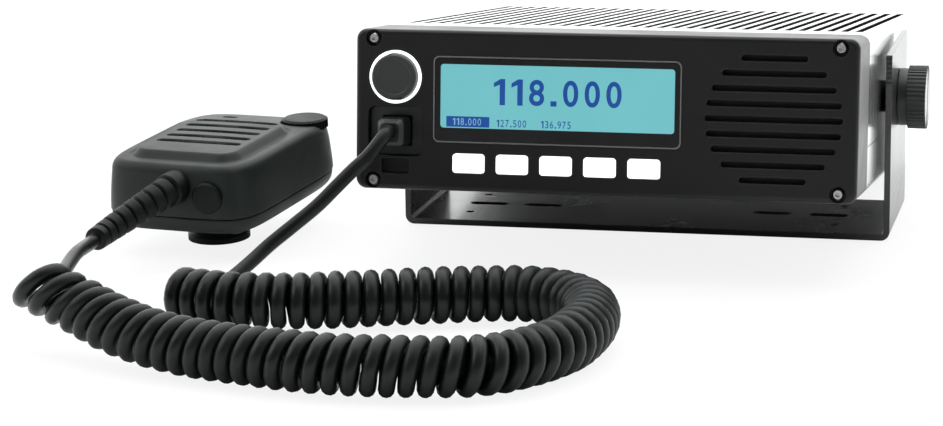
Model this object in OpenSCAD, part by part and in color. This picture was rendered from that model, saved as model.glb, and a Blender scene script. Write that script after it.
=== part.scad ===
// Panel-tilting airband transceiver in a U bracket, with a fist microphone on a curly cord.
// Millimetres. X runs to the right, Y away from the front, Z up from the bracket's underside.
// Radio pieces are drawn level around the clamp axis and then tilted together by rest_tilt.

/* [Radio body] */
// Width across the front panel and the body
body_w = 190; // [185:1:240]
// Height of the body
body_h = 60.5; // [60:0.5:76]
// Depth from the panel face to the rear panel's outer face
body_d = 250; // [220:5:320]
// Depth of the front frame
frame_d = 35; // [32:1:42]
// Outer corner radius of the body's section
corner_r = 4; // [3:0.5:5]
// Distance from the panel face back to the clamp axis
pivot_back = 119; // [105:1:130]
// Height of the clamp axis over the body's underside
pivot_up = 32.1; // [30:0.1:36]
// Front-up tilt of the radio in its bracket at rest, in degrees
rest_tilt = 6.2; // [0:0.1:7]
// Thickness of the body's side walls
side_wall = 4; // [3.5:0.1:5]
// Thickness of the rear panel
rear_t = 3; // [2:0.5:4]
// Gap at the seams between housing pieces
seam_gap = 0.3; // [0.2:0.05:0.5]

/* [Heat sink] */
// Number of grooves between the fins
groove_count = 33; // [20:1:36]
// Width of one groove
groove_w = 3.1; // [2:0.1:3.4]
// Depth of the grooves
groove_d = 7; // [4:0.5:8]
// Metal left under the grooves
roof_t = 3; // [2.5:0.5:4]
// Plain lip between the front frame and the first fin
lip_front = 22; // [18:1:30]
// Plain lip behind the last fin
lip_rear = 8; // [7:0.5:14]

/* [Front panel] */
// Thickness of the panel's front wall
panel_t = 4; // [4:0.5:5]
// Thickness of the frame's side walls
frame_wall = 2; // [1.5:0.1:3]
// Size of the rounded edge round the panel face
edge_r = 1.9; // [1:0.1:2.5]
// Side inset of the corner screws
screw_in_u = 7; // [6:0.5:9]
// Top and bottom inset of the corner screws
screw_in_w = 3.5; // [3.3:0.1:4.5]
// Radius of a corner screw's head
screw_head_r = 2.35; // [2:0.05:2.6]
// Radius of a corner screw's shank
screw_r = 1.25; // [1:0.05:1.4]
// Radial clearance of the screws in their through holes
screw_gap = 0.15; // [0.1:0.05:0.3]

/* [Display and keys] */
// Middle of the display and key row, from the body's centre line
display_u = -17.5; // [-20:0.5:-14]
// Width of the display glass
glass_w = 93; // [80:1:100]
// Height of the display glass
glass_h = 31.2; // [26:0.2:33]
// Height of the glass centre over the panel's middle
glass_up = 4.4; // [3:0.1:6]
// Thickness of the display glass
glass_t = 1.8; // [1.2:0.1:2]
// Width of the lit window
lcd_w = 89; // [70:1:90]
// Height of the lit window
lcd_h = 23.9; // [18:0.1:25]
// Height of the lit window's centre over the glass centre
lcd_up = 1.2; // [0:0.1:2]
// Number of keys
key_count = 5; // [5:1:5]
// Width of a key cap
key_w = 12; // [8:0.5:14]
// Height of a key cap
key_h = 7; // [5:0.5:7.5]
// Spacing of the keys
key_pitch = 16.7; // [16.5:0.1:18]
// Height of the key row under the panel's middle
key_down = 19.6; // [18.5:0.1:21]
// How far the key caps stand out of the panel
key_proud = 0.6; // [0.4:0.1:1.2]
// Clearance round a key cap in its window
key_gap = 0.25; // [0.2:0.05:0.4]

/* [Selector knob] */
// Distance of the knob and jack from the panel's left edge
knob_in = 15.7; // [15:0.1:17]
// Height of the knob over the panel's middle
knob_up = 12.4; // [11.5:0.1:13]
// Radius of the knob
knob_r = 8.6; // [7:0.1:9]
// How far the knob stands out of the panel
knob_proud = 3.6; // [2:0.1:14]
// Width of the lit ring round the knob
ring_w = 1.05; // [0.8:0.05:1.2]
// Radius of the knob's shaft
shaft_r = 3; // [2.5:0.1:3.2]
// Radial clearance of turning and sliding shafts
run_gap = 0.05; // [0.02:0.01:0.08]

/* [Microphone jack] */
// Width of the jack opening
jack_w = 21.2; // [18:0.2:22]
// Height of the jack opening
jack_h = 18.7; // [16:0.1:19]
// Depth of the jack face below the panel
jack_deep = 3; // [2:0.5:4]
// Width and height of the plug's boot
boot_w = 10.8; // [9:0.1:12]
// How far the boot stands out of the panel
boot_proud = 9; // [6:0.5:9.5]

/* [Loudspeaker] */
// Distance of the loudspeaker's centre from the panel's right edge
speaker_in = 31.25; // [31:0.25:34]
// Radius of the round grille area
grille_r = 25.8; // [20:0.2:26]
// Height of one grille slot
slot_h = 2.2; // [1.5:0.1:2.6]
// Number of grille slots
slot_count = 9; // [7:2:9]

/* [Bracket] */
// Sheet thickness of the U bracket
sheet_t = 2.4; // [2:0.1:3]
// Length of the bracket's base and arms, front to back
bracket_l = 66; // [55:1:80]
// Space between the bracket's base and the level body
under_gap = 17.9; // [17.5:0.1:30]
// Height of the arms over the clamp axis
arm_over = 22; // [18:1:26]
// Inside bend radius of the sheet
bend_r = 1.2; // [0.8:0.1:2]
// Distance of the inner base slots from the middle
slot_inner_u = 48; // [40:1:50]
// Distance of the outer base slots from the middle
slot_outer_u = 71; // [70:1:74]
// Length of a base slot, end to end
base_slot_l = 16.5; // [12:0.5:18]
// Width of a base slot
base_slot_w = 5.5; // [4:0.5:6]
// Radius of the small base holes
base_hole_r = 1.7; // [1.5:0.1:2.5]
// Distance of the small base holes from the middle, sideways
base_hole_u = 75.5; // [72:0.5:78]
// Distance of the small base holes from the middle, front to back
base_hole_v = 17.3; // [14:0.1:20]

/* [Clamp knobs] */
// Radius of the clamp stud
stud_r = 2.95; // [2.45:0.05:3.9]
// Radius of the spacer boss on the body's side
boss_r = 6.5; // [6:0.1:9]
// How far the spacer boss stands out of the body's side
boss_proud = 1.5; // [1:0.1:2]
// Gap between a boss and the bracket's arm
arm_gap = 0.1; // [0.05:0.05:0.3]
// Radius of the knob's collar
collar_r = 11.5; // [9:0.1:12]
// Length of the knob's collar
collar_l = 3.6; // [2.5:0.1:5]
// Radius of the ribbed grip
grip_r = 12.7; // [12:0.1:15]
// Length of the ribbed grip
grip_l = 7.4; // [6:0.1:10]
// Number of grip ribs
rib_count = 44; // [30:2:48]
// Width of the slot that parts the two lobes
lobe_slot = 3; // [2:0.1:4]

/* [Fist microphone] */
// Width of the microphone
mic_w = 65; // [60:1:75]
// Length of the microphone
mic_l = 94.5; // [86:0.5:110]
// Thickness of the microphone without its grille panel
mic_t = 27.7; // [27:0.1:31]
// Height of the shell seam over the microphone's back
seam_up = 6.6; // [5.5:0.1:7]
// Plan corner radius of the microphone
mic_r = 11; // [9:0.5:13]
// Wall thickness of the microphone's shells
mic_wall = 2.2; // [1.8:0.1:2.6]
// Turn of the microphone on the table, in degrees
mic_yaw = -8.4; // [-11:0.1:-6]
// Nose-down lean of the microphone on its stud, in degrees
mic_tilt = 3.4; // [3:0.1:3.8]
// Radius of the stud that the microphone hangs by
hang_r = 12.5; // [10:0.5:13]
// Height of the hanging stud
hang_h = 12.2; // [11.5:0.1:12.8]
// Radius of the round dial on the microphone
dial_r = 9.5; // [8:0.1:10]
// Travel room round the talk key
ptt_gap = 0.3; // [0.25:0.05:0.5]

/* [Cord] */
// Diameter of the cord
cord_d = 5.2; // [4.8:0.1:5.6]
// Outer diameter of the curled stretch
coil_d = 21; // [19:0.5:22]

/* [Hidden] */
eps = 0.01;
hull_fn = 32;
// Colours
black_metal = [0.10, 0.10, 0.105];
black_plastic = [0.07, 0.07, 0.075];
mic_grey = [0.16, 0.19, 0.185];
cord_grey = [0.11, 0.13, 0.13];
steel = [0.72, 0.72, 0.74];
light_white = [0.95, 0.97, 1.0];
lcd_cyan = [0.47, 0.78, 0.83];
board_green = [0.07, 0.30, 0.16];
pale_grey = [0.66, 0.67, 0.68];
// Places in the radio's own frame: x sideways, y back from the clamp axis, z up from it
half_w = body_w / 2;
face_y = -pivot_back;
rear_y = body_d - pivot_back;
low_z = -pivot_up;
top_z = body_h - pivot_up;
mid_z = (top_z + low_z) / 2;
seam_y = face_y + frame_d;
side_seam_z = low_z + 18.5;
shell_y0 = seam_y + seam_gap;
shell_y1 = rear_y - rear_t - seam_gap;
roof_z = top_z - groove_d - roof_t;
pivot_z = sheet_t + under_gap + pivot_up;
fin_y0 = seam_y + lip_front;
fin_y1 = rear_y - rear_t - lip_rear;
screw_u = half_w - screw_in_u;
screw_up = body_h / 2 - screw_in_w;
column = 2 * screw_in_u - 5.6;
column_h = screw_in_w + 4.4;
panel_screw_l = frame_d + 12;
rear_screw_l = 9;
port_r = screw_r + 0.02;
counterbore_r = screw_head_r + 0.75;
counterbore_d = 2.3;
// Front panel features, as offsets from the middle of the panel face
knob_u = -half_w + knob_in;
jack_down = 8.1;
pocket_down = 21.25;
pocket_w = 10.8;
pocket_h = 5.8;
pocket_d = 3;
speaker_u = half_w - speaker_in;
slot_pitch = 2 * (grille_r - 3.25) / (slot_count - 1);
glass_gap = 0.15;
glass_pocket = glass_t + 0.2;
bezel_w = 0.55;
bezel_proud = 0.3;
key_travel = 1;
key_flange = 0.9;
key_flange_t = 1.1;
key_mat_gap = 0.3;
board_depth = panel_t + 5;
board_t = 1.6;
ring_r0 = knob_r + 0.35;
ring_r1 = ring_r0 + ring_w;
ring_depth = 2;
ring_proud = 0.9;
knob_back = panel_t - 1.4;
push_travel = 0.8;
plunger_r = shaft_r + run_gap + 0.95;
encoder_w = 13;
speaker_r = grille_r + 2;
board_u0 = -half_w + frame_wall + 2;
board_u1 = speaker_u - speaker_r - 1.5;
// Rear panel features, as offsets from the middle of the rear panel
antenna_u = -half_w + 30;
antenna_up = 2;
antenna_neck_r = 6.5;
antenna_r = 7.8;
antenna_bore_r = 4.2;
antenna_l = 15;
power_u = half_w - 34;
power_w = 24;
power_h = 14;
data_u = 0;
data_w = 19;
data_h = 9;
ground_u = half_w - 60;
ground_r = 2.5;
plug_row = -6;
port_gap = 0.15;
// Inside the body
board_in = 14;
board_up = 9;
can_w = 74;
can_l = 92;
can_h = 12;
can_t = 0.6;
spreader_w = 46;
spreader_l = 70;
spreader_t = 6;
// Bracket and clamps
boss_neck_r = stud_r + 2;
bracket_w = body_w + 2 * (boss_proud + arm_gap + sheet_t);
arm_out = bracket_w / 2;
knob_x0 = arm_out + 0.3;
grip_x0 = knob_x0 + collar_l;
grip_x1 = grip_x0 + grip_l;
cap_t = 0.8;
lobe_slot_d = 6;
notch_count = 6;
notch_pitch = 1.9;
notch_d = 0.9;
// Microphone
mic_screw_in = 9.5;
mic_screw_spots = [
    for (sx = [-1, 1]) for (sy = [-1, 1]) [sx * (mic_w / 2 - mic_screw_in), sy * (mic_l / 2 - mic_screw_in)]
];
mic_x = -165.4;
mic_y = -66.1;
hang_y = -7.2;
mic_z = hang_h * cos(mic_tilt) + (hang_r - hang_y) * sin(mic_tilt);
shell_lip = 0.15;
panel_mic_w = 46;
panel_mic_l = 55;
panel_mic_t = 1.6;
panel_mic_y = -9;
mic_slot_l = 36;
mic_slot_w = 2.6;
mic_slot_pitch = 8.6;
mic_slot_y = -2.7;
mic_bevel = 1.2;
mic_nose_drop = 1.6;
dial_in_x = 11.5;
dial_in_y = 13;
dial_h = 4.2;
dial_pin_r = 3;
bung_r = 6.2;
bung_x = 16.2;
bung_z = 15.4;
dial_at = [mic_w / 2 - dial_in_x, mic_l / 2 - dial_in_y, mic_t - 1.7 - mic_nose_drop];
far_fall = 24;
relief_x = 2.4;
relief_z = 19;
relief_r0 = 6.2;
relief_r1 = 4.3;
relief_foot_r = relief_r0 + 0.7;
relief_ribs = 8;
ptt_l = 36;
ptt_h = 11;
ptt_proud = 1.8;
ptt_travel = 1.2;
ptt_y = -8;
ptt_z = 15;
// Cord routes: hand-chosen points on the table, with the coil lying on it
floor_lift = coil_d / 2;
lead_floor = cord_d / 2 + 0.3;
boot_x = knob_u;
boot_z = mid_z - jack_down;
boot_tip = radio_point([boot_x, face_y - boot_proud, boot_z]);
boot_out = radio_point([boot_x, face_y - boot_proud - 5, boot_z]);
coil_points = [
    [-137.1, -206.4, floor_lift], [-117.7, -210.3, floor_lift], [-96.8, -208.8, floor_lift],
    [-75.9, -202.9, floor_lift], [-55.5, -194.9, floor_lift], [-35, -187.9, floor_lift],
    [-15.1, -183.9, floor_lift], [0.8, -189.4, floor_lift], [11.3, -202.9, floor_lift],
    [14.8, -224.8, floor_lift], [11.8, -250.2, floor_lift], [1.8, -270.1, floor_lift],
    [-12.1, -282.1, floor_lift], [-35, -286.5, floor_lift], [-58.9, -287.5, floor_lift],
    [-81, -283.6, floor_lift], [-104.1, -277.4, floor_lift], [-116.2, -273.6, floor_lift + 0.5],
    [-128.4, -268.9, floor_lift + 1.5], [-141.8, -262.1, floor_lift + 3.5], [-155.6, -254.1, floor_lift + 6.5],
    [-164.8, -251.3, floor_lift + 9.5], [-174.5, -247.1, floor_lift + 12.5]
];
lead_points = [
    boot_tip, boot_out, [-84, -139.5, 50], [-90, -140.5, 44.5], [-96.5, -141.5, 38], [-104, -142.5, 30.5],
    [-113, -143.5, 23], [-121.5, -147, 16], [-127.5, -154, 10.2], [-132.5, -163, 5.8], [-138, -172.5, 3.3],
    [-144, -181.5, 3.1], [-148.6, -189.5, 4.5], [-148.8, -196.8, 7], [-144.6, -201.2, 8.9], coil_points[0]
];
relief_base = mic_point([relief_x, -mic_l / 2, relief_z]);
relief_tip = [-189.6, -150.7, 16];
relief_dir = (relief_tip - relief_base) / norm(relief_tip - relief_base);
relief_out = relief_tip + 5 * relief_dir;
tail_points = [
    coil_points[len(coil_points) - 1], [-178.3, -245.5, 23.6], [-181.7, -241.9, 23.5],
    [-183.9, -236.1, 22.8], [-184.5, -228.1, 21.8], [-185.2, -212, 20.4], [-185.2, -195, 18.8],
    [-187, -175, 17], relief_out, relief_tip
];
coil_curve = spline(coil_points, 2);
coil_in = heading(coil_curve, 0);
coil_out = heading(coil_curve, len(coil_curve) - 1);
lead_sides = 8;
coil_sides = 12;

// ---- Frames and helpers ----

// A radio point (x, y, z from the clamp axis, level) as it stands at rest
function radio_point(p) = [
    p[0],
    p[1] * cos(rest_tilt) + p[2] * sin(rest_tilt),
    pivot_z + p[2] * cos(rest_tilt) - p[1] * sin(rest_tilt)
];

// A microphone point as it lies at rest
function mic_point(p) = let(
    y = p[1] * cos(mic_tilt) - p[2] * sin(mic_tilt),
    z = p[1] * sin(mic_tilt) + p[2] * cos(mic_tilt)
) [
    mic_x + p[0] * cos(mic_yaw) - y * sin(mic_yaw),
    mic_y + p[0] * sin(mic_yaw) + y * cos(mic_yaw),
    mic_z + z
];

module in_radio() {
    translate([0, 0, pivot_z]) rotate([-rest_tilt, 0, 0]) children();
}

module in_mic() {
    translate([mic_x, mic_y, mic_z]) rotate([0, 0, mic_yaw]) rotate([mic_tilt, 0, 0]) children();
}

// Draws with +Z out of the panel face at (u, up) from its middle, starting at a depth below it
module at_face(u, up, depth = 0) {
    translate([u, face_y + depth, mid_z + up]) rotate([90, 0, 0]) children();
}

// Draws with +Z out of the rear panel at (u, up) from its middle
module at_rear(u, up, depth = 0) {
    translate([u, rear_y - depth, mid_z + up]) rotate([-90, 0, 0]) children();
}

module round_rect(w, h, r) {
    offset(r = r, $fn = hull_fn) square([w - 2 * r, h - 2 * r], center = true);
}

module round_box(w, h, r, t) {
    linear_extrude(height = t) round_rect(w, h, r);
}

// A true round-ended slot along x, cut upwards from z = 0
module slot_cut(l, w, t) {
    translate([-(l - w) / 2, -w / 2, 0]) cube([l - w, w, t]);
    for (side = [-1, 1]) translate([side * (l - w) / 2, 0, 0]) cylinder(r = w / 2, h = t, $fn = 48);
}

// A body's outline, extruded along y between two planes
module body_prism(y0, y1, inset = 0) {
    translate([0, y1, mid_z]) rotate([90, 0, 0])
        round_box(body_w - 2 * inset, body_h - 2 * inset, max(corner_r - inset, 0.5), y1 - y0);
}

// One ring of a swept tube at p, square to the direction t
function ring_at(p, t, r, sides) = let(
    side = cross(t, [0, 0, 1]) / norm(cross(t, [0, 0, 1])),
    up = cross(side, t)
) [for (k = [0 : sides - 1]) p + r * (cos(360 * k / sides) * side + sin(360 * k / sides) * up)];

// A smooth curve through the points, with steps pieces between each two
function spline_point(p, i, t) = let(
    n = len(p),
    a = p[max(i - 1, 0)], b = p[i], c = p[min(i + 1, n - 1)], d = p[min(i + 2, n - 1)]
) 0.5 * ((2 * b) + (c - a) * t + (2 * a - 5 * b + 4 * c - d) * t * t + (3 * b - a - 3 * c + d) * t * t * t);

function spline(p, steps) = [
    for (i = [0 : len(p) - 2]) for (s = [0 : steps - 1]) spline_point(p, i, s / steps),
    p[len(p) - 1]
];

// The direction of a path at one of its points
function heading(p, i) = let(
    d = p[min(i + 1, len(p) - 1)] - p[max(i - 1, 0)]
) d / norm(d);

// A closed tube along a path. Its two end faces are square to the given directions.
module tube(path, r, sides, first, last) {
    n = len(path);
    rings = [for (i = [0 : n - 1]) ring_at(path[i], i == 0 ? first : i == n - 1 ? last : heading(path, i), r, sides)];
    faces = concat(
        [[for (k = [0 : sides - 1]) k]],
        [for (i = [0 : n - 2]) for (k = [0 : sides - 1]) let(a = i * sides, b = a + sides, m = (k + 1) % sides)
            for (f = [[a + k, b + k, b + m], [a + k, b + m, a + m]]) f],
        [[for (k = [sides - 1 : -1 : 0]) (n - 1) * sides + k]]
    );
    polyhedron(points = [for (q = rings) for (p = q) p], faces = faces);
}

// ---- Bracket ----

module bracket() {
    color(black_metal) difference() {
        rotate([90, 0, 0]) linear_extrude(height = bracket_l, center = true) bracket_section();
        // Clamp holes in both arms
        translate([-arm_out - 1, 0, pivot_z]) rotate([0, 90, 0])
            cylinder(r = stud_r + run_gap, h = bracket_w + 2, $fn = 64);
        // Base slots and small holes
        for (side = [-1, 1]) {
            for (u = [slot_inner_u, slot_outer_u]) translate([side * u, 0, -1])
                slot_cut(base_slot_l, base_slot_w, sheet_t + 2);
            for (v = [-1, 1]) translate([side * base_hole_u, v * base_hole_v, -1])
                cylinder(r = base_hole_r, h = sheet_t + 2, $fn = 32);
        }
        // Index notches down the front edge of each arm
        for (i = [0 : notch_count - 1])
            translate([-arm_out - 1, -bracket_l / 2 - 1, pivot_z + arm_over - 1.6 - i * notch_pitch])
                cube([bracket_w + 2, notch_d + 1, notch_pitch / 2]);
    }
}

module bracket_section() {
    arm_top = pivot_z + arm_over;
    outer_r = bend_r + sheet_t;
    difference() {
        union() {
            translate([-arm_out + outer_r, outer_r]) offset(r = outer_r, $fn = hull_fn)
                square([bracket_w - 2 * outer_r, arm_top - 2 * outer_r]);
            translate([-arm_out, arm_top / 2]) square([bracket_w, arm_top / 2]);
        }
        translate([-arm_out + sheet_t + bend_r, sheet_t + bend_r]) offset(r = bend_r, $fn = hull_fn)
            square([bracket_w - 2 * sheet_t - 2 * bend_r, arm_top]);
    }
}

// ---- Cord ----

module cord_lead() {
    path = spline(lead_points, 2);
    first = heading([boot_tip, boot_out], 0);
    color(cord_grey) tube(path, cord_d / 2, lead_sides, first, coil_in);
}

module cord_coil() {
    color(cord_grey) tube(coil_curve, coil_d / 2, coil_sides, coil_in, coil_out);
}

module cord_tail() {
    path = spline(tail_points, 2);
    last = -relief_dir;
    color(cord_grey) tube(path, cord_d / 2, lead_sides, coil_out, last);
}

// ---- Front panel ----

module front_panel() {
    color(black_metal) in_radio() difference() {
        union() {
            panel_skin();
            difference() {
                body_prism(face_y + edge_r, seam_y);
                translate([0, frame_d / 2 + panel_t, 0])
                    body_prism(face_y - frame_d / 2, seam_y + 1, frame_wall);
            }
            for (su = [-1, 1]) for (sw = [-1, 1])
                translate([su * (half_w - frame_wall - column / 2), (face_y + panel_t + seam_y) / 2,
                    mid_z + sw * (body_h / 2 - frame_wall / 2 - column_h / 2)])
                    cube([column, frame_d - panel_t, column_h], center = true);
        }
        screw_holes();
        display_cuts();
        key_cuts();
        knob_cuts();
        jack_cuts();
        grille_cuts();
    }
}

// The front wall with its rounded edge
module panel_skin() {
    hull() for (a = [0, 30, 60, 90])
        translate([0, face_y + edge_r * (1 - sin(a)) + 0.2, mid_z]) rotate([90, 0, 0])
            round_box(body_w - 2 * edge_r * (1 - cos(a)), body_h - 2 * edge_r * (1 - cos(a)),
                corner_r - edge_r * (1 - cos(a)) / 2, 0.2);
    body_prism(face_y + edge_r, face_y + panel_t);
}

module screw_holes() {
    for (su = [-1, 1]) for (sw = [-1, 1]) at_face(su * screw_u, sw * screw_up) {
        translate([0, 0, -frame_d - 1]) cylinder(r = screw_r + screw_gap, h = frame_d + 2, $fn = 32);
        translate([0, 0, -counterbore_d]) cylinder(r = counterbore_r, h = counterbore_d + 1, $fn = 48);
    }
}

module display_cuts() {
    at_face(display_u, glass_up, glass_pocket)
        round_box(glass_w + 2 * (glass_gap + bezel_w), glass_h + 2 * (glass_gap + bezel_w), 2.4, glass_pocket + 1);
    at_face(display_u, glass_up + lcd_up, panel_t + 1) round_box(lcd_w + 1, lcd_h + 1, 1, panel_t + 2);
}

module key_cuts() {
    for (k = [0 : key_count - 1]) at_face(key_u(k), -key_down, panel_t + 1)
        round_box(key_w + 2 * key_gap, key_h + 2 * key_gap, 1.3, panel_t + 2);
}

module knob_cuts() {
    at_face(knob_u, knob_up) {
        translate([0, 0, -panel_t - 1]) cylinder(r = plunger_r + 0.6, h = panel_t + 2, $fn = 64);
        translate([0, 0, -panel_t + 0.4]) cylinder(r = ring_r0, h = panel_t + 2, $fn = 96);
        translate([0, 0, -ring_depth]) cylinder(r = ring_r1 + 0.02, h = ring_depth + 2, $fn = 96);
    }
}

module jack_cuts() {
    at_face(knob_u, -jack_down, panel_t + 1) round_box(jack_w, jack_h, 2.8, panel_t + 2);
    at_face(knob_u, -pocket_down, pocket_d)
        linear_extrude(height = pocket_d + 1) offset(r = 1, $fn = hull_fn)
            square([pocket_w - 2, pocket_h - 2], center = true);
}

// Round-ended slots that fill a circle, each with a flared rim
module grille_cuts() {
    for (i = [0 : slot_count - 1]) {
        up = (i - (slot_count - 1) / 2) * slot_pitch;
        length = 2 * sqrt(grille_r * grille_r - up * up);
        at_face(speaker_u, up, panel_t + 1) slot_cut(length - 0.6, slot_h, panel_t + 2);
        at_face(speaker_u, up, 0.4) slot_cut(length, slot_h + 0.6, 2);
    }
}

function key_u(k) = display_u + (k - (key_count - 1) / 2) * key_pitch;

module display_bezel() {
    color(pale_grey) in_radio() at_face(display_u, glass_up, glass_pocket - 0.05) difference() {
        round_box(glass_w + 2 * (glass_gap + bezel_w) - 0.1, glass_h + 2 * (glass_gap + bezel_w) - 0.1, 2.3,
            glass_pocket - 0.05 + bezel_proud);
        translate([0, 0, -1]) round_box(glass_w + 2 * glass_gap, glass_h + 2 * glass_gap, 1.9, glass_pocket + 2);
    }
}

module display_glass() {
    color([0.05, 0.05, 0.06]) in_radio() at_face(display_u, glass_up, glass_pocket - 0.1)
        round_box(glass_w, glass_h, 1.8, glass_t);
}

// The lit display behind the glass: a raised screen on a wider module
module display_module() {
    color(lcd_cyan) in_radio() at_face(display_u, glass_up + lcd_up) {
        translate([0, 0, -glass_pocket - 1.4]) round_box(lcd_w, lcd_h, 0.8, 1.3);
        translate([-lcd_w / 2 - 2.5, -lcd_h / 2 - 2.5, -board_depth + 0.1])
            cube([lcd_w + 5, lcd_h + 5, board_depth - panel_t - 0.2]);
        translate([-lcd_w / 2, -lcd_h / 2, -panel_t - 0.2]) cube([lcd_w, lcd_h, panel_t - glass_pocket - 1]);
    }
}

module key_cap(k) {
    color(light_white) in_radio() at_face(key_u(k), -key_down) {
        translate([0, 0, -panel_t - 0.05]) round_box(key_w, key_h, 1.1, panel_t + 0.05 + key_proud);
        translate([0, 0, -panel_t - 0.05 - key_flange_t])
            round_box(key_w + 2 * key_flange, key_h + 2 * key_flange, 1.4, key_flange_t);
    }
}

module key_1() { key_cap(0); }
module key_2() { key_cap(1); }
module key_3() { key_cap(2); }
module key_4() { key_cap(3); }
module key_5() { key_cap(4); }

// Rubber mat with one dome behind each key
module key_mat() {
    mat_depth = panel_t + 0.05 + key_flange_t + key_travel + key_mat_gap;
    color(light_white) in_radio() {
        at_face(display_u, -key_down, board_depth - 0.1)
            round_box(key_pitch * (key_count - 1) + key_w + 4, key_h + 3, 1.5, board_depth - mat_depth - 1);
        for (k = [0 : key_count - 1]) at_face(key_u(k), -key_down, board_depth - 0.3)
            cylinder(r1 = 3.2, r2 = 2.4, h = board_depth - 0.3 - mat_depth, $fn = 32);
    }
}

module control_board() {
    color(board_green) in_radio() difference() {
        at_face((board_u0 + board_u1) / 2, 0, board_depth + board_t)
            round_box(board_u1 - board_u0, body_h - 2 * column_h - 2, 1.5, board_t);
        at_face(knob_u, knob_up, board_depth + board_t + 1)
            cylinder(r = plunger_r + 0.6, h = board_t + 2, $fn = 48);
    }
}

// ---- Selector knob ----

module knob_light_ring() {
    color(light_white) in_radio() at_face(knob_u, knob_up, ring_depth - 0.02) difference() {
        cylinder(r = ring_r1, h = ring_depth + ring_proud, $fn = 96);
        translate([0, 0, -1]) cylinder(r = ring_r0, h = ring_depth + ring_proud + 2, $fn = 96);
    }
}

module select_knob() {
    color(black_plastic) in_radio() at_face(knob_u, knob_up) difference() {
        union() {
            translate([0, 0, -knob_back]) cylinder(r = knob_r, h = knob_back + knob_proud - 0.6, $fn = 96);
            translate([0, 0, knob_proud - 0.6]) cylinder(r1 = knob_r, r2 = knob_r - 0.6, h = 0.6, $fn = 96);
        }
        translate([0, 0, -knob_back - 1]) cylinder(r = shaft_r + 0.01, h = knob_back + knob_proud - 1, $fn = 48);
        // Shallow finger dish in the face
        translate([0, 0, knob_proud - 0.25]) cylinder(r1 = knob_r - 2.2, r2 = knob_r - 1.6, h = 0.5, $fn = 96);
    }
}

module encoder_shaft() {
    color(steel) in_radio() at_face(knob_u, knob_up, board_depth - 0.9)
        cylinder(r = shaft_r, h = board_depth - 0.9 + knob_proud - 2.1, $fn = 48);
}

module encoder_plunger() {
    color(steel) in_radio() at_face(knob_u, knob_up, board_depth - 0.6) difference() {
        cylinder(r = plunger_r, h = board_depth - panel_t - 1, $fn = 48);
        translate([0, 0, -1]) cylinder(r = shaft_r + run_gap, h = board_depth, $fn = 48);
    }
}

module encoder_body() {
    color(steel) in_radio() at_face(knob_u, knob_up, board_depth - 0.1) difference() {
        translate([-encoder_w / 2, -encoder_w / 2, 0]) cube([encoder_w, encoder_w, board_depth - panel_t - 0.3]);
        translate([0, 0, -1]) cylinder(r = plunger_r + run_gap, h = board_depth, $fn = 48);
    }
}

// ---- Microphone jack and plug ----

module jack_housing() {
    socket_w = boot_w + 0.6;
    color(black_plastic) in_radio() at_face(knob_u, -jack_down, board_depth - 0.1) difference() {
        round_box(jack_w - 0.4, jack_h - 0.4, 2.6, board_depth - 0.1 - jack_deep);
        translate([-socket_w / 2, -socket_w / 2, 1]) cube([socket_w, socket_w, board_depth]);
    }
}

module mic_plug() {
    plug_w = boot_w - 1;
    color(black_plastic) in_radio() at_face(knob_u, -jack_down) {
        translate([-plug_w / 2, -plug_w / 2, -board_depth + 1.6]) cube([plug_w, plug_w, board_depth - jack_deep - 1]);
        translate([0, 0, -jack_deep + 0.6]) hull() {
            round_box(boot_w, boot_w, 1.6, 1);
            translate([0, 0, jack_deep + boot_proud - 3]) round_box(boot_w - 0.8, boot_w - 0.8, 1.8, 0.4);
            translate([0, 0, jack_deep + boot_proud - 1.1]) round_box(boot_w - 3.4, boot_w - 3.4, 2, 0.5);
        }
    }
}

// ---- Loudspeaker ----

module speaker_mesh() {
    color(black_plastic) in_radio() at_face(speaker_u, 0, panel_t + 0.5) cylinder(r = speaker_r, h = 0.4, $fn = 96);
}

module speaker_frame() {
    color(black_metal) in_radio() at_face(speaker_u, 0, panel_t + 10) difference() {
        union() {
            translate([0, 0, 8]) cylinder(r = speaker_r - 0.2, h = 1.4, $fn = 96);
            cylinder(r1 = 15, r2 = speaker_r - 3, h = 8.2, $fn = 64);
        }
        translate([0, 0, 1.2]) cylinder(r1 = 13.8, r2 = speaker_r - 4.2, h = 8.3, $fn = 64);
        translate([0, 0, -1]) cylinder(r = 8, h = 12, $fn = 48);
    }
}

module speaker_cone() {
    color([0.2, 0.2, 0.2]) in_radio() at_face(speaker_u, 0, panel_t + 6.5) difference() {
        cylinder(r1 = 9, r2 = speaker_r - 6, h = 5, $fn = 64);
        translate([0, 0, 0.6]) cylinder(r1 = 8.6, r2 = speaker_r - 6.3, h = 5, $fn = 64);
    }
}

module speaker_magnet() {
    color(steel) in_radio() {
        at_face(speaker_u, 0, panel_t + 18) cylinder(r = 14, h = 7.8, $fn = 64);
        at_face(speaker_u, 0, panel_t + 10.3) cylinder(r = 7.4, h = 3.2, $fn = 48);
    }
}

// ---- Body ----

module heatsink_shell() {
    fin_pitch = (body_w - 2 * corner_r) / groove_count;
    color(black_metal) in_radio() difference() {
        intersection() {
            body_prism(shell_y0, shell_y1);
            translate([-half_w, shell_y0, side_seam_z + seam_gap / 2]) cube([body_w, body_d, body_h]);
        }
        // Hollow under the roof, between the side walls
        translate([-half_w + side_wall, shell_y0 - 1, side_seam_z - 1])
            cube([body_w - 2 * side_wall, body_d, roof_z - side_seam_z + 1]);
        for (i = [0 : groove_count - 1])
            translate([-half_w + corner_r + (i + 0.5) * fin_pitch - groove_w / 2, fin_y0, top_z - groove_d])
                cube([groove_w, fin_y1 - fin_y0, groove_d + 1]);
        ports(1);
        boss_holes();
    }
}

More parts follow.
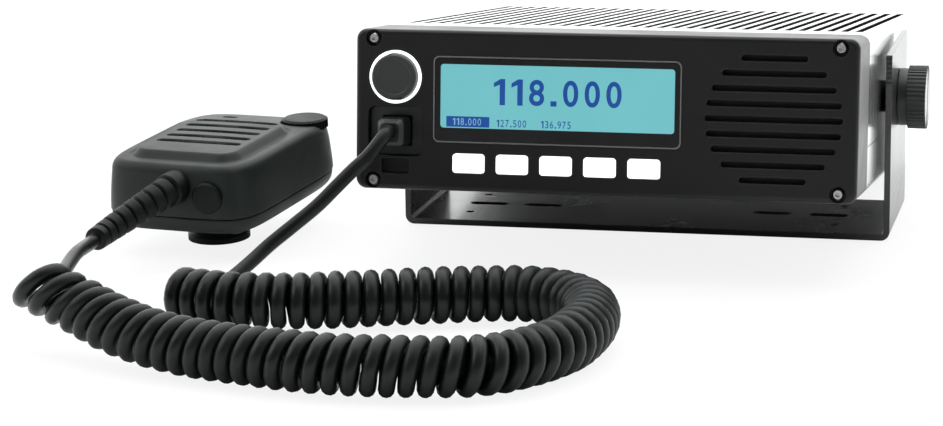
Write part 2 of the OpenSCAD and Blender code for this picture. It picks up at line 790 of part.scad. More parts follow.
// Screw ports in both ends of a shell, for the upper (1) or lower (-1) row
module ports(row) {
    for (su = [-1, 1]) {
        at_face(su * screw_u, row * screw_up, panel_screw_l + 1)
            cylinder(r = port_r, h = panel_screw_l, $fn = 32);
        at_rear(su * screw_u, row * screw_up, rear_screw_l + 1)
            cylinder(r = port_r, h = rear_screw_l, $fn = 32);
    }
}

module boss_holes() {
    translate([-half_w - 1, 0, 0]) rotate([0, 90, 0])
        cylinder(r = boss_neck_r + 0.02, h = body_w + 2, $fn = 64);
}

module bottom_cover() {
    floor_t = 2.5;
    corner = screw_in_w + 4;
    color(black_metal) in_radio() difference() {
        intersection() {
            body_prism(shell_y0, shell_y1);
            translate([-half_w, shell_y0, low_z - 1]) cube([body_w, body_d, side_seam_z - low_z + 1 - seam_gap / 2]);
        }
        translate([-half_w + side_wall, shell_y0 - 1, low_z + corner])
            cube([body_w - 2 * side_wall, body_d, body_h]);
        translate([-half_w + screw_in_u + 4, shell_y0 - 1, low_z + floor_t])
            cube([body_w - 2 * screw_in_u - 8, body_d, body_h]);
        ports(-1);
    }
}

module rear_panel() {
    color(black_metal) in_radio() difference() {
        body_prism(rear_y - rear_t, rear_y);
        for (su = [-1, 1]) for (sw = [-1, 1]) at_rear(su * screw_u, sw * screw_up, rear_t + 1)
            cylinder(r = screw_r + screw_gap, h = rear_t + 2, $fn = 32);
        at_rear(antenna_u, antenna_up, rear_t + 1) cylinder(r = antenna_neck_r + 0.1, h = rear_t + 2, $fn = 48);
        at_rear(power_u, plug_row, rear_t + 1) port_hole(power_w, power_h);
        at_rear(data_u, plug_row, rear_t + 1) port_hole(data_w, data_h);
        at_rear(ground_u, plug_row, rear_t + 1) cylinder(r = ground_r + 0.1, h = rear_t + 2, $fn = 32);
    }
}

// A square-cornered hole round a connector in the rear panel
module port_hole(w, h) {
    translate([-w / 2 - port_gap, -h / 2 - port_gap, 0]) cube([w + 2 * port_gap, h + 2 * port_gap, rear_t + 2]);
}

module panel_screws() {
    color(steel) in_radio() for (su = [-1, 1]) for (sw = [-1, 1]) at_face(su * screw_u, sw * screw_up)
        socket_screw(panel_screw_l);
}

// A button-head screw with a hexagon socket, its head seated at the counterbore's floor
module socket_screw(l) {
    head_h = 1.9;
    difference() {
        translate([0, 0, -counterbore_d]) union() {
            cylinder(r = screw_head_r, h = head_h / 2, $fn = 48);
            translate([0, 0, head_h / 2]) cylinder(r1 = screw_head_r, r2 = screw_head_r * 0.68, h = head_h / 2, $fn = 48);
            translate([0, 0, counterbore_d - l]) cylinder(r = screw_r, h = l - counterbore_d + 0.1, $fn = 24);
        }
        translate([0, 0, -counterbore_d + 0.7]) cylinder(r = 0.95, h = 3, $fn = 6);
    }
}

module rear_screws() {
    color(steel) in_radio() for (su = [-1, 1]) for (sw = [-1, 1]) at_rear(su * screw_u, sw * screw_up)
        difference() {
            union() {
                cylinder(r = screw_head_r, h = 1.1, $fn = 48);
                translate([0, 0, 1.1]) cylinder(r1 = screw_head_r, r2 = 1.5, h = 0.8, $fn = 48);
                translate([0, 0, -rear_screw_l]) cylinder(r = screw_r, h = rear_screw_l + 0.1, $fn = 24);
            }
            translate([0, 0, 0.7]) cylinder(r = 0.95, h = 3, $fn = 6);
        }
}

module main_board() {
    board_y0 = seam_y + 12;
    color(board_green) in_radio() translate([-half_w + board_in, board_y0, low_z + board_up])
        cube([body_w - 2 * board_in, rear_y - rear_t - 16 - board_y0, board_t]);
}

module shield_can() {
    color(steel) in_radio() translate([-62, seam_y + 40, low_z + board_up + board_t + 0.05]) difference() {
        cube([can_w, can_l, can_h]);
        translate([can_t, can_t, -1]) cube([can_w - 2 * can_t, can_l - 2 * can_t, can_h - can_t + 1]);
    }
}

// Two power transistors and their spreader under the heat sink's roof
module power_module() {
    color(steel) in_radio() {
        translate([30, seam_y + 70, roof_z - 0.1 - spreader_t]) cube([spreader_w, spreader_l, spreader_t]);
        for (i = [0, 1]) translate([40, seam_y + 80 + i * 30, roof_z - 2 * spreader_t]) cube([22, 12, spreader_t]);
    }
}

module antenna_connector() {
    color(steel) in_radio() at_rear(antenna_u, antenna_up) {
        difference() {
            union() {
                translate([0, 0, 0.02]) cylinder(r = antenna_r + 3, h = 2, $fn = 6);
                cylinder(r = antenna_r, h = antenna_l, $fn = 64);
                translate([0, 0, -rear_t - 5]) cylinder(r = antenna_neck_r, h = rear_t + 6, $fn = 48);
            }
            translate([0, 0, antenna_l - 11]) cylinder(r = antenna_bore_r, h = 12, $fn = 48);
        }
        translate([0, 0, antenna_l - 11.5]) cylinder(r = 0.9, h = 8, $fn = 24);
    }
}

module power_connector() {
    color(black_plastic) in_radio() at_rear(power_u, plug_row) difference() {
        translate([-power_w / 2, -power_h / 2, -rear_t - 8]) cube([power_w, power_h, rear_t + 16]);
        for (side = [-1, 1]) translate([side * power_w / 4 - 4.2, -power_h / 2 + 2.5, 0])
            cube([8.4, power_h - 5, 9]);
    }
}

module data_connector() {
    color(steel) in_radio() at_rear(data_u, plug_row) {
        difference() {
            translate([-data_w / 2, -data_h / 2, -rear_t - 6]) cube([data_w, data_h, rear_t + 11]);
            translate([-data_w / 2 + 1, -data_h / 2 + 1, 0]) cube([data_w - 2, data_h - 2, 6]);
        }
        for (side = [-1, 1]) translate([side * (data_w / 2 + 3.6), 0, 0.02]) cylinder(r = 2.4, h = 4.5, $fn = 6);
    }
}

module ground_stud() {
    color(steel) in_radio() at_rear(ground_u, plug_row) {
        translate([0, 0, -rear_t - 4]) cylinder(r = ground_r, h = rear_t + 16, $fn = 32);
        translate([0, 0, 0.02]) cylinder(r = 4.6, h = 3, $fn = 6);
    }
}

module pivot_bosses() {
    color(black_metal) in_radio() for (side = [-1, 1]) rotate([0, side * 90, 0]) difference() {
        union() {
            translate([0, 0, half_w]) cylinder(r = boss_r, h = boss_proud, $fn = 64);
            translate([0, 0, half_w - side_wall - 6]) cylinder(r = boss_neck_r, h = side_wall + 6.1, $fn = 64);
            translate([0, 0, half_w - side_wall - 6]) cylinder(r = boss_neck_r + 3, h = 5.9, $fn = 6);
        }
        translate([0, 0, half_w - 30]) cylinder(r = stud_r + run_gap, h = 60, $fn = 64);
    }
}

// ---- Clamp knobs ----

module at_clamp(side) {
    in_radio() rotate([0, side * 90, 0]) children();
}

// The ribbed outline of the grip
module grip_outline() {
    polygon([for (i = [0 : rib_count - 1]) for (c = [[0.1, 0], [0.35, 0.45], [0.65, 0.45], [0.9, 0]])
        let(a = 360 * (i + c[0]) / rib_count, r = grip_r - c[1]) [r * cos(a), r * sin(a)]]);
}

module clamp_knob(side) {
    color(black_plastic) at_clamp(side) difference() {
        union() {
            translate([0, 0, knob_x0]) cylinder(r = collar_r, h = collar_l + 0.2, $fn = 64);
            translate([0, 0, grip_x0]) linear_extrude(height = grip_l) grip_outline();
        }
        translate([0, 0, arm_out]) cylinder(r = stud_r + 0.02, h = collar_l + 4, $fn = 48);
        for (end = [-1, 1]) translate([end * grip_r - lobe_slot_d, -lobe_slot / 2, grip_x0 + 0.6])
            cube([2 * lobe_slot_d, lobe_slot, grip_l + 1]);
        translate([0, 0, grip_x1 - cap_t]) lobe_faces(0.05, cap_t + 1);
    }
}

// The two pale faces, one on each lobe of a knob
module lobe_faces(gap, t) {
    linear_extrude(height = t) difference() {
        circle(r = grip_r - 1.6 + gap, $fn = 64);
        square([2 * grip_r, lobe_slot + 2.4 - 2 * gap], center = true);
    }
}

module clamp_cap(side) {
    color(pale_grey) at_clamp(side) translate([0, 0, grip_x1 - cap_t + 0.02]) lobe_faces(0, cap_t);
}

module clamp_stud(side) {
    color(steel) at_clamp(side) translate([0, 0, half_w - 9]) cylinder(r = stud_r, h = knob_x0 + collar_l + 3 - half_w + 9, $fn = 48);
}

module clamp_knob_left() { clamp_knob(-1); }
module clamp_knob_right() { clamp_knob(1); }
module clamp_cap_left() { clamp_cap(-1); }
module clamp_cap_right() { clamp_cap(1); }
module clamp_stud_left() { clamp_stud(-1); }
module clamp_stud_right() { clamp_stud(1); }

// ---- Fist microphone ----

// A slice of the microphone's outline, drawn in by inset and shortened by cut
module mic_slice(z, inset, t = 0.2, cut = 0) {
    translate([0, 0, z]) round_box(mic_w - 2 * inset, mic_l - 2 * inset - cut, mic_r - inset / 2, t);
}

module mic_front_shell() {
    color(mic_grey) in_mic() difference() {
        union() {
            mic_front_block();
            translate([0, panel_mic_y, mic_t - 0.4]) hull() {
                round_box(panel_mic_w, panel_mic_l, 7, 0.6);
                round_box(panel_mic_w - 3, panel_mic_l - 3, 6, panel_mic_t + 0.4);
            }
        }
        // Hollow for the board and the capsule
        translate([0, 0, seam_up - 1])
            round_box(mic_w - 2 * mic_wall - 6, mic_l - 2 * mic_wall - 6, mic_r - 4, mic_t - seam_up - mic_wall - 1 - mic_nose_drop);
        for (i = [-2 : 2]) translate([0, mic_slot_y + i * mic_slot_pitch, mic_t - 7])
            slot_cut(mic_slot_l, mic_slot_w, 11);
        translate([-mic_w / 2 + 19, mic_l / 2 - 12, mic_t - 7]) slot_cut(6, 2.6, 11);
        // Seats of the dial, the talk key, the bung and the strain relief
        translate(dial_at) {
            translate([0, 0, -7]) cylinder(r = dial_pin_r + run_gap, h = 12, $fn = 48);
            cylinder(r = dial_r + 0.3, h = 6, $fn = 64);
        }
        translate([-mic_w / 2 - 2, ptt_y - ptt_l / 2 - ptt_gap, ptt_z - ptt_h / 2 - ptt_gap])
            cube([mic_wall + 8, ptt_l + 2 * ptt_gap, ptt_h + 2 * ptt_gap]);
        translate([bung_x, -mic_l / 2 - 2, bung_z]) rotate([-90, 0, 0]) cylinder(r = bung_r + 0.1, h = 5.5, $fn = 48);
        relief_seat();
    }
}

// The front shell's solid shape: straight sides, a bevelled shoulder and a top that falls to the far end
module mic_front_block() {
    hull() {
        mic_slice(seam_up + shell_lip, 0);
        mic_slice(mic_t - 4.6 - mic_nose_drop, mic_bevel);
        translate([0, -far_fall / 2, 0]) mic_slice(mic_t - 4, mic_bevel, 0.2, far_fall);
        translate([0, -far_fall / 2, 0]) mic_slice(mic_t - 1.4, 2 * mic_bevel, 0.2, far_fall);
        translate([0, -far_fall / 2, 0]) mic_slice(mic_t - 0.2, 4.4, 0.2, far_fall);
        mic_slice(mic_t - 0.2 - mic_nose_drop, 4.4);
    }
}

// The round seat that the strain relief's foot sits in, in the microphone's frame
module relief_seat() {
    translate([relief_x, -mic_l / 2, relief_z]) rotate([-90, 0, 0])
        translate([0, 0, -4]) cylinder(r = relief_foot_r + 0.1, h = 7, $fn = 48);
}

module mic_back_shell() {
    color(mic_grey) in_mic() difference() {
        hull() {
            mic_slice(0, 4.5);
            mic_slice(1.6, 1.8);
            mic_slice(seam_up - 0.2 - shell_lip, 0.3);
        }
        translate([0, 0, mic_wall])
            round_box(mic_w - 2 * mic_wall - 12, mic_l - 2 * mic_wall - 12, mic_r - 6, seam_up);
        for (s = mic_screw_spots) translate([s[0], s[1], -1]) cylinder(r = 1.35, h = seam_up + 2, $fn = 24);
        for (s = mic_screw_spots) translate([s[0], s[1], -1]) cylinder(r = 2.6, h = 2.2, $fn = 32);
        translate([0, hang_y, -1]) cylinder(r = 2.1, h = seam_up, $fn = 32);
    }
}

module mic_screws() {
    color(steel) in_mic() for (s = mic_screw_spots) translate([s[0], s[1], 0]) difference() {
        union() {
            translate([0, 0, -0.4]) cylinder(r = 2.4, h = 1.6, $fn = 32);
            cylinder(r = 1.25, h = seam_up - 0.3, $fn = 24);
        }
        for (a = [0, 90]) rotate([0, 0, a]) translate([-1.4, -0.3, -1]) cube([2.8, 0.6, 1.2]);
    }
}

// The stud that hangs in a mounting clip: a wide foot on a narrower neck
module mic_hang_stud() {
    color(mic_grey) in_mic() translate([0, hang_y, 0]) {
        translate([0, 0, -hang_h]) cylinder(r1 = hang_r, r2 = hang_r, h = 2.2, $fn = 64);
        translate([0, 0, -hang_h + 2.2]) cylinder(r1 = hang_r, r2 = hang_r - 3.5, h = 2.4, $fn = 64);
        translate([0, 0, -hang_h + 4]) cylinder(r = 8, h = hang_h - 4.05, $fn = 48);
        translate([0, 0, -0.1]) cylinder(r = 2, h = mic_wall + 0.1, $fn = 32);
    }
}

module mic_ptt() {
    key_depth = 3.5;
    color(mic_grey) in_mic() {
        hull() {
            translate([-mic_w / 2 - 0.2, ptt_y - ptt_l / 2, ptt_z - ptt_h / 2]) cube([key_depth, ptt_l, ptt_h]);
            translate([-mic_w / 2 - ptt_proud, ptt_y - ptt_l / 2 + 2.5, ptt_z - ptt_h / 2 + 1.8])
                cube([1, ptt_l - 5, ptt_h - 3.6]);
        }
    }
}

module mic_dial() {
    color(black_plastic) in_mic() translate(dial_at) {
        translate([0, 0, 0.2]) linear_extrude(height = dial_h - 0.8)
            polygon([for (i = [0 : 71]) let(r = dial_r - (i % 2) * 0.35) [r * cos(5 * i), r * sin(5 * i)]]);
        translate([0, 0, dial_h - 0.6]) cylinder(r1 = dial_r - 0.4, r2 = dial_r - 1.2, h = 0.6, $fn = 64);
        translate([0, 0, -5.3]) cylinder(r = dial_pin_r, h = 5.6, $fn = 48);
    }
}

module mic_bung() {
    color(black_plastic) in_mic() translate([bung_x, -mic_l / 2, bung_z]) rotate([-90, 0, 0]) {
        translate([0, 0, -1]) cylinder(r1 = bung_r - 0.7, r2 = bung_r, h = 0.7, $fn = 48);
        translate([0, 0, -0.3]) cylinder(r = bung_r, h = 3.6, $fn = 48);
    }
}

module mic_board() {
    color(board_green) in_mic() translate([-20, -30, 9]) cube([40, 60, board_t]);
}

module mic_capsule() {
    color(steel) in_mic() translate([0, 4, mic_t - mic_wall - mic_nose_drop - 8.4]) cylinder(r = 10, h = 6, $fn = 48);
}

// A tapered ribbed sleeve from the microphone's end face to the cord
module strain_relief() {
    span = norm(relief_tip - relief_base);
    pitch = (span - 6) / relief_ribs;
    flex = acos(-relief_dir[2]);
    turn = atan2(relief_dir[1], relief_dir[0]);
    color(black_plastic) {
        translate(relief_base) rotate([0, 0, turn]) rotate([0, 180 - flex, 0])
            rotate_extrude($fn = 40) relief_profile(span, pitch);
        in_mic() translate([relief_x, -mic_l / 2, relief_z]) rotate([-90, 0, 0])
            translate([0, 0, -1.6]) cylinder(r = relief_foot_r, h = 4.5, $fn = 48);
    }
}

module relief_profile(span, pitch) {
    polygon(concat(
        [[0, 0], [relief_r0, 0], [relief_r0, 4.2]],
        [for (i = [0 : relief_ribs - 1]) let(
            z = 5 + i * pitch,
            r = relief_r0 + (relief_r1 - relief_r0) * (i + 0.5) / relief_ribs
        ) for (c = [[-1.1, 0], [-1.1, 0.28], [0, 0.38], [0, 0.95]]) [r + c[0], z + c[1] * pitch]],
        [[relief_r1, span], [0, span]]
    ));
}

bracket();
cord_lead();
cord_coil();
cord_tail();
front_panel();
display_bezel();
display_glass();
display_module();
knob_light_ring();
key_mat();
control_board();
encoder_body();
jack_housing();
mic_plug();
speaker_mesh();
speaker_frame();
speaker_cone();
speaker_magnet();
heatsink_shell();
bottom_cover();
rear_panel();
panel_screws();
rear_screws();
main_board();
shield_can();
power_module();
antenna_connector();
power_connector();
data_connector();
ground_stud();
pivot_bosses();
key_1();
key_2();
key_3();
key_4();
key_5();
select_knob();
encoder_shaft();
encoder_plunger();
clamp_knob_left();
clamp_knob_right();
clamp_cap_left();
clamp_cap_right();
clamp_stud_left();
clamp_stud_right();
mic_front_shell();
mic_back_shell();
mic_ptt();
mic_dial();
mic_hang_stud();
mic_board();
mic_capsule();
mic_bung();
mic_screws();
strain_relief();
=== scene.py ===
"""Finished looks of a panel-tilting airband transceiver with a fist microphone on a curly cord.

Laid out as an add-on and run as a script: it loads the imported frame, builds the camera and studio,
the two cords, the microphone's moulded shells, the lit display and every surface finish.
Lengths are metres. X runs right, Y away from the front, Z up from the bracket's underside.
"""

import math

import bpy
import numpy as np
from mathutils import Matrix


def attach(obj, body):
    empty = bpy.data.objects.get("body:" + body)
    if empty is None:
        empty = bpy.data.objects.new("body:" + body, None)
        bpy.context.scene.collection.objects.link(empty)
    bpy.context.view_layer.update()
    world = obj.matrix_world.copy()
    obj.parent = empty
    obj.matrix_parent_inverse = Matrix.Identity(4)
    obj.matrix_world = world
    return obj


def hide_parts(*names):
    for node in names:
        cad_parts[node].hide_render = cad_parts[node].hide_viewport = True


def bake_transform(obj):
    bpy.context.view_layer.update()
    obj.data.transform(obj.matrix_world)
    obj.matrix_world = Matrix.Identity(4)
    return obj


bl_info = {
    "name": "Airband transceiver looks",
    "version": (1, 0, 0),
    "blender": (4, 5, 0),
    "location": "View3D > Sidebar > Airband",
    "description": "Builds the cords, microphone shells, lit display, finishes and studio",
    "category": "Object",
}

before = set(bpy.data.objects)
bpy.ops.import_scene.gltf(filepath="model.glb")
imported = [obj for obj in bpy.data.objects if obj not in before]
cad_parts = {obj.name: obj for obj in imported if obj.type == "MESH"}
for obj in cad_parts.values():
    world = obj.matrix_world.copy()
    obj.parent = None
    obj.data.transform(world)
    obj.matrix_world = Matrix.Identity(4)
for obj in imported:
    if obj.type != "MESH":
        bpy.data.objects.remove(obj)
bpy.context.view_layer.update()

MM = 0.001

# The radio's clamp axis and its front-up lean at rest
PIVOT_Z = 0.0524
RADIO_TILT = math.radians(6.2)
FACE_Y = -0.119
PANEL_MID_Z = -0.00185
KNOB_U = -0.0793
JACK_DOWN = 0.0081
BOOT_PROUD = 0.009

# The microphone's place on the table
MIC_AT = (-0.1654, -0.0661, 0.013347)
MIC_YAW = math.radians(-8.4)
MIC_TILT = math.radians(3.4)
MIC_HALF_W = 0.0325
MIC_HALF_L = 0.04725
MIC_TOP = 0.0277
MIC_SEAM = 0.0066
FAR_FALL = 0.0016
DIAL_AT = (0.021, 0.03425)
DIAL_SEAT_R = 0.0100
DIAL_SEAT_Z = 0.0243

# The grille panel and its slots on the microphone's top, as middle and half sizes
GRILLE_Y = -0.009
GRILLE_HALF = (0.0238, 0.0283)
GRILLE_CORNER = 0.009
SLOT_Y = -0.0027
SLOT_PITCH = 0.0086
SLOT_HALF = 0.0182

# The talk key's pocket in the left wall, as (along the side, up)
POCKET_AT = (-0.008, 0.015)
POCKET_HALF = (0.0188, 0.0063)
POCKET_X = -0.0268
BACK_SCREW_AT = (0.023, MIC_HALF_L - 0.0095)

# The lit window and the channel marker in it: left, right, bottom and top on the panel
WINDOW_BOX = (-0.0619, 0.0271, -0.0081, 0.0158)
MARKER_BOX = (-0.0596, -0.0430, -0.0077, -0.0037)

# The camera: azimuth, elevation and roll in degrees, place, and lens shift
CAMERA_TURN = (13.09, 12.85, -0.78)
CAMERA_AT = (0.20258, -1.16714, 0.25946)
CAMERA_SHIFT = (-0.0257, 0.0300)
SENSOR_WIDTH = 36.0


def radio_place(points):
    """Radio points (from the clamp axis, level) as they stand at rest: turned about X by the lean, then
    lifted."""
    p = np.asarray(points, float)
    c, s = math.cos(RADIO_TILT), math.sin(RADIO_TILT)
    y = p[..., 1] * c + p[..., 2] * s
    z = PIVOT_Z + p[..., 2] * c - p[..., 1] * s
    return np.stack([p[..., 0], y, z], axis=-1)


def mic_place(points):
    """Microphone points as they lie at rest: leaned about X, turned about Z, then moved to their place."""
    p = np.asarray(points, float)
    ct, st = math.cos(MIC_TILT), math.sin(MIC_TILT)
    cy, sy = math.cos(MIC_YAW), math.sin(MIC_YAW)
    y = p[..., 1] * ct - p[..., 2] * st
    z = p[..., 1] * st + p[..., 2] * ct
    x = p[..., 0] * cy - y * sy
    y = p[..., 0] * sy + y * cy
    return np.stack([x, y, z], axis=-1) + np.array(MIC_AT)


def smooth(t):
    """Smoothstep: 3t^2 - 2t^3 of t held between 0 and 1."""
    t = np.clip(t, 0.0, 1.0)
    return t * t * (3.0 - 2.0 * t)


# ---- Mesh making ----


def add_mesh(name, points, faces, shade_smooth=True):
    mesh = bpy.data.meshes.new(name)
    mesh.from_pydata(np.asarray(points, float).tolist(), [], faces)
    mesh.polygons.foreach_set("use_smooth", np.full(len(mesh.polygons), shade_smooth))
    mesh.validate()
    mesh.update()
    piece = bpy.data.objects.new(name, mesh)
    bpy.context.scene.collection.objects.link(piece)
    return piece


def ring_faces(rings, sides):
    """Quads between neighbouring closed rings, then a fan to a pole point before the first ring and after
    the last."""
    i = np.arange(rings - 1)[:, None] * sides
    k = np.arange(sides)[None, :]
    m = (k + 1) % sides
    quads = np.stack([i + k, i + m, i + sides + m, i + sides + k], axis=-1).reshape(-1, 4)
    first, last = rings * sides, rings * sides + 1
    k = np.arange(sides)
    m = (k + 1) % sides
    end = (rings - 1) * sides
    low = np.stack([m, k, np.full(sides, first)], axis=-1)
    high = np.stack([end + k, end + m, np.full(sides, last)], axis=-1)
    return quads.tolist() + low.tolist() + high.tolist()


def closed_rings(name, rings, shade_smooth=True):
    """A closed skin through an array of rings (ring, side, xyz), shut at both ends by the rings' middles."""
    count, sides = rings.shape[:2]
    points = np.concatenate([rings.reshape(-1, 3), [rings[0].mean(0)], [rings[-1].mean(0)]])
    return add_mesh(name, points, ring_faces(count, sides), shade_smooth)


# ---- Paths and tubes ----


def spline(points, steps):
    """Catmull-Rom curve: between two points b and c, with neighbours a and d, half of
    2b + (c-a)t + (2a-5b+4c-d)t^2 + (3b-a-3c+d)t^3."""
    p = np.asarray(points, float)
    a = np.vstack([p[:1], p[:-2]])
    b, c = p[:-1], p[1:]
    d = np.vstack([p[2:], p[-1:]])
    t = np.arange(steps)[None, :, None] / steps
    a, b, c, d = (q[:, None, :] for q in (a, b, c, d))
    curve = 0.5 * (2 * b + (c - a) * t + (2 * a - 5 * b + 4 * c - d) * t**2 + (3 * b - a - 3 * c + d) * t**3)
    return np.vstack([curve.reshape(-1, 3), p[-1:]])


def lengths(path):
    """Distance along a path at each of its points."""
    return np.concatenate([[0.0], np.cumsum(np.linalg.norm(np.diff(path, axis=0), axis=1))])


def resample(path, step):
    """The same path with points about one step apart."""
    s = lengths(path)
    t = np.linspace(0.0, s[-1], max(2, int(round(s[-1] / step)) + 1))
    return np.stack([np.interp(t, s, path[:, k]) for k in range(3)], axis=-1)


def unit(v):
    return v / np.maximum(np.linalg.norm(v, axis=-1, keepdims=True), 1e-12)


def path_frames(path):
    """Directions along, beside and over a path, with no twist: a first guess square to Z is turned, at
    each point, by the sum of the turns between each guess and its neighbour carried along the path."""
    along = unit(np.gradient(path, axis=0))
    side = unit(np.cross(along, [0.0003, 0.0002, 1.0]))
    over = np.cross(side, along)
    axis = np.cross(along[:-1], along[1:])
    cosine = np.sum(along[:-1] * along[1:], axis=1, keepdims=True)
    s0 = side[:-1]
    lifted = axis * np.sum(axis * s0, axis=1, keepdims=True) / (1 + cosine)
    carried = s0 * cosine + np.cross(axis, s0) + lifted
    turn = np.arctan2(np.sum(carried * over[1:], axis=1), np.sum(carried * side[1:], axis=1))
    angle = np.concatenate([[0.0], np.cumsum(turn)])[:, None]
    return along, side * np.cos(angle) + over * np.sin(angle), over * np.cos(angle) - side * np.sin(angle)


def tube_rings(path, radius, sides):
    """Rings of a tube: path + radius (cos a side + sin a over), a once round, radius one number or one a
    point."""
    _, side, over = path_frames(path)
    a = -np.linspace(0, 2 * math.pi, sides, endpoint=False)[None, :, None]
    r = np.broadcast_to(np.asarray(radius, float), (len(path),))[:, None, None]
    return path[:, None, :] + r * (np.cos(a) * side[:, None, :] + np.sin(a) * over[:, None, :])


# Routes in millimetres. The coil's middle line and the lead's first eight points are the part's. The lead's
# last points and the tail differ from it, because the helix starts and ends at the bottom of a turn.
COIL_ROUTE = [
    (-137.1, -206.4, 10.5), (-117.7, -210.3, 10.5), (-96.8, -208.8, 10.5), (-75.9, -202.9, 10.5),
    (-55.5, -194.9, 10.5), (-35, -187.9, 10.5), (-15.1, -183.9, 10.5), (0.8, -189.4, 10.5),
    (11.3, -202.9, 10.5), (14.8, -224.8, 10.5), (11.8, -250.2, 10.5), (1.8, -270.1, 10.5),
    (-12.1, -282.1, 10.5), (-35, -286.5, 10.5), (-58.9, -287.5, 10.5), (-81, -283.6, 10.5),
    (-104.1, -277.4, 10.5), (-116.2, -273.6, 11), (-128.4, -268.9, 12), (-141.8, -262.1, 14),
    (-155.6, -254.1, 17), (-164.8, -251.3, 20), (-174.5, -247.1, 23),
]
LEAD_ROUTE = [
    (-84, -139.5, 50), (-90, -140.5, 44.5), (-96.5, -141.5, 38), (-104, -142.5, 30.5), (-113, -143.5, 23),
    (-121.5, -147, 16), (-127.5, -154, 10.2), (-132.5, -163, 5.8), (-136.5, -173, 3.4), (-138.6, -183, 2.7),
    (-138.9, -193, 2.6),
]
TAIL_ROUTE = [(-175.4, -234, 15.8), (-178.8, -216, 16.4), (-183.4, -195, 16.8), (-187.6, -175, 16.6)]
RELIEF_TIP = np.array([-0.1896, -0.1507, 0.0160])
RELIEF_BASE = mic_place([0.0024, -MIC_HALF_L, 0.019])
RELIEF_DIR = unit(np.array([-0.03, -0.99, -0.06]))
COIL_STEP = 0.0004
PLAIN_STEP = 0.0016

# The coil's last stretch is pulled apart: its length, how it eases in, and its added spacing and lean
PULL_LENGTH = 0.085
PULL_EASE = 0.07
PULL_SPREAD = 0.17
PULL_LEAN = 0.34
TURN_LEAN = 0.10


def lead_path(first_turn):
    """The plain stretch from the plug's boot down to the table and along it to the coil's first turn."""
    tip = radio_place([KNOB_U, FACE_Y - BOOT_PROUD, PANEL_MID_Z - JACK_DOWN])
    out = radio_place([KNOB_U, FACE_Y - BOOT_PROUD - 0.005, PANEL_MID_Z - JACK_DOWN])
    route = np.vstack([tip, out, np.array(LEAD_ROUTE) * MM, first_turn])
    return resample(spline(route, 12), PLAIN_STEP)


def coil_path(outer, thickness, pitch):
    """A helix round the coil's middle line: middle + R (cos a side + sin a over), where a grows by one
    turn a pitch, with a slow unevenness. The last turns are pulled apart and lean back, and R wavers a
    little all along."""
    middle = resample(spline(np.array(COIL_ROUTE) * MM, 24), COIL_STEP)
    s = lengths(middle)
    along, side, over = path_frames(middle)
    waver = 1 - 0.020 * (1 + np.sin(s * 61.0)) / 2 - 0.012 * (1 + np.sin(s * 173.0 + 1.0)) / 2
    pull = smooth((s - s[-1] + PULL_LENGTH) / PULL_EASE)
    density = 1 / (pitch * (1 + PULL_SPREAD * pull))
    share = np.cumsum(density) * s[1] + 0.045 * np.sin(s * 37.0) + 0.025 * np.sin(s * 111.0)
    share = share - share[0]
    share = share * round(share[-1]) / share[-1]
    turn = 2 * math.pi * share - math.pi / 2
    reach = ((outer - thickness) / 2 * waver)[:, None]
    lean = (TURN_LEAN + PULL_LEAN * pull)[:, None]
    over = over - along * lean
    return middle + reach * (np.cos(turn)[:, None] * side + np.sin(turn)[:, None] * over)


def tail_path(last_turn):
    """The plain stretch from the coil's last turn, held off the table, into the strain relief."""
    out = RELIEF_TIP + 0.006 * RELIEF_DIR
    route = np.vstack([last_turn, np.array(TAIL_ROUTE) * MM, out, RELIEF_TIP])
    return resample(spline(route, 12), PLAIN_STEP)


# ---- The microphone's moulded shells ----


def mic_outline(sides, power):
    """Directions round a superellipse, evenly spaced along its edge: x = r cos a, y = r sin a, where
    r = (|cos a / half width|^power + |sin a / half length|^power)^(-1/power)."""
    a = np.linspace(0, 2 * math.pi, 4001)
    r = (np.abs(np.cos(a) / MIC_HALF_W) ** power + np.abs(np.sin(a) / MIC_HALF_L) ** power) ** (-1 / power)
    edge = np.stack([r * np.cos(a), r * np.sin(a), 0 * a], axis=-1)
    s = lengths(edge)
    t = np.linspace(0, s[-1], sides, endpoint=False)
    return np.interp(t, s, a)


def mic_rings(angles, insets, heights, power):
    """One superellipse ring for each pair of inset and height."""
    a = angles[None, :]
    w = MIC_HALF_W - insets[:, None]
    l = MIC_HALF_L - insets[:, None] * MIC_HALF_L / MIC_HALF_W * np.clip(insets[:, None] / 0.02, 0, 1)
    l = np.maximum(np.minimum(l, MIC_HALF_L - insets[:, None]), 0.0004)
    w = np.maximum(w, 0.0003)
    r = (np.abs(np.cos(a) / w) ** power + np.abs(np.sin(a) / l) ** power) ** (-1 / power)
    z = np.broadcast_to(heights[:, None], r.shape)
    return np.stack([r * np.cos(a), r * np.sin(a), z], axis=-1)


def box_distance(x, y, half_x, half_y, corner):
    """Distance to a rounded rectangle's edge, negative inside it."""
    dx = np.abs(x) - (half_x - corner)
    dy = np.abs(y) - (half_y - corner)
    outside = np.hypot(np.maximum(dx, 0), np.maximum(dy, 0))
    return outside + np.minimum(np.maximum(dx, dy), 0) - corner


def slot_distance(x, y, half_x, half_y):
    """Distance to a round-ended slot's edge, negative inside it."""
    return np.hypot(np.maximum(np.abs(x) - (half_x - half_y), 0), y) - half_y


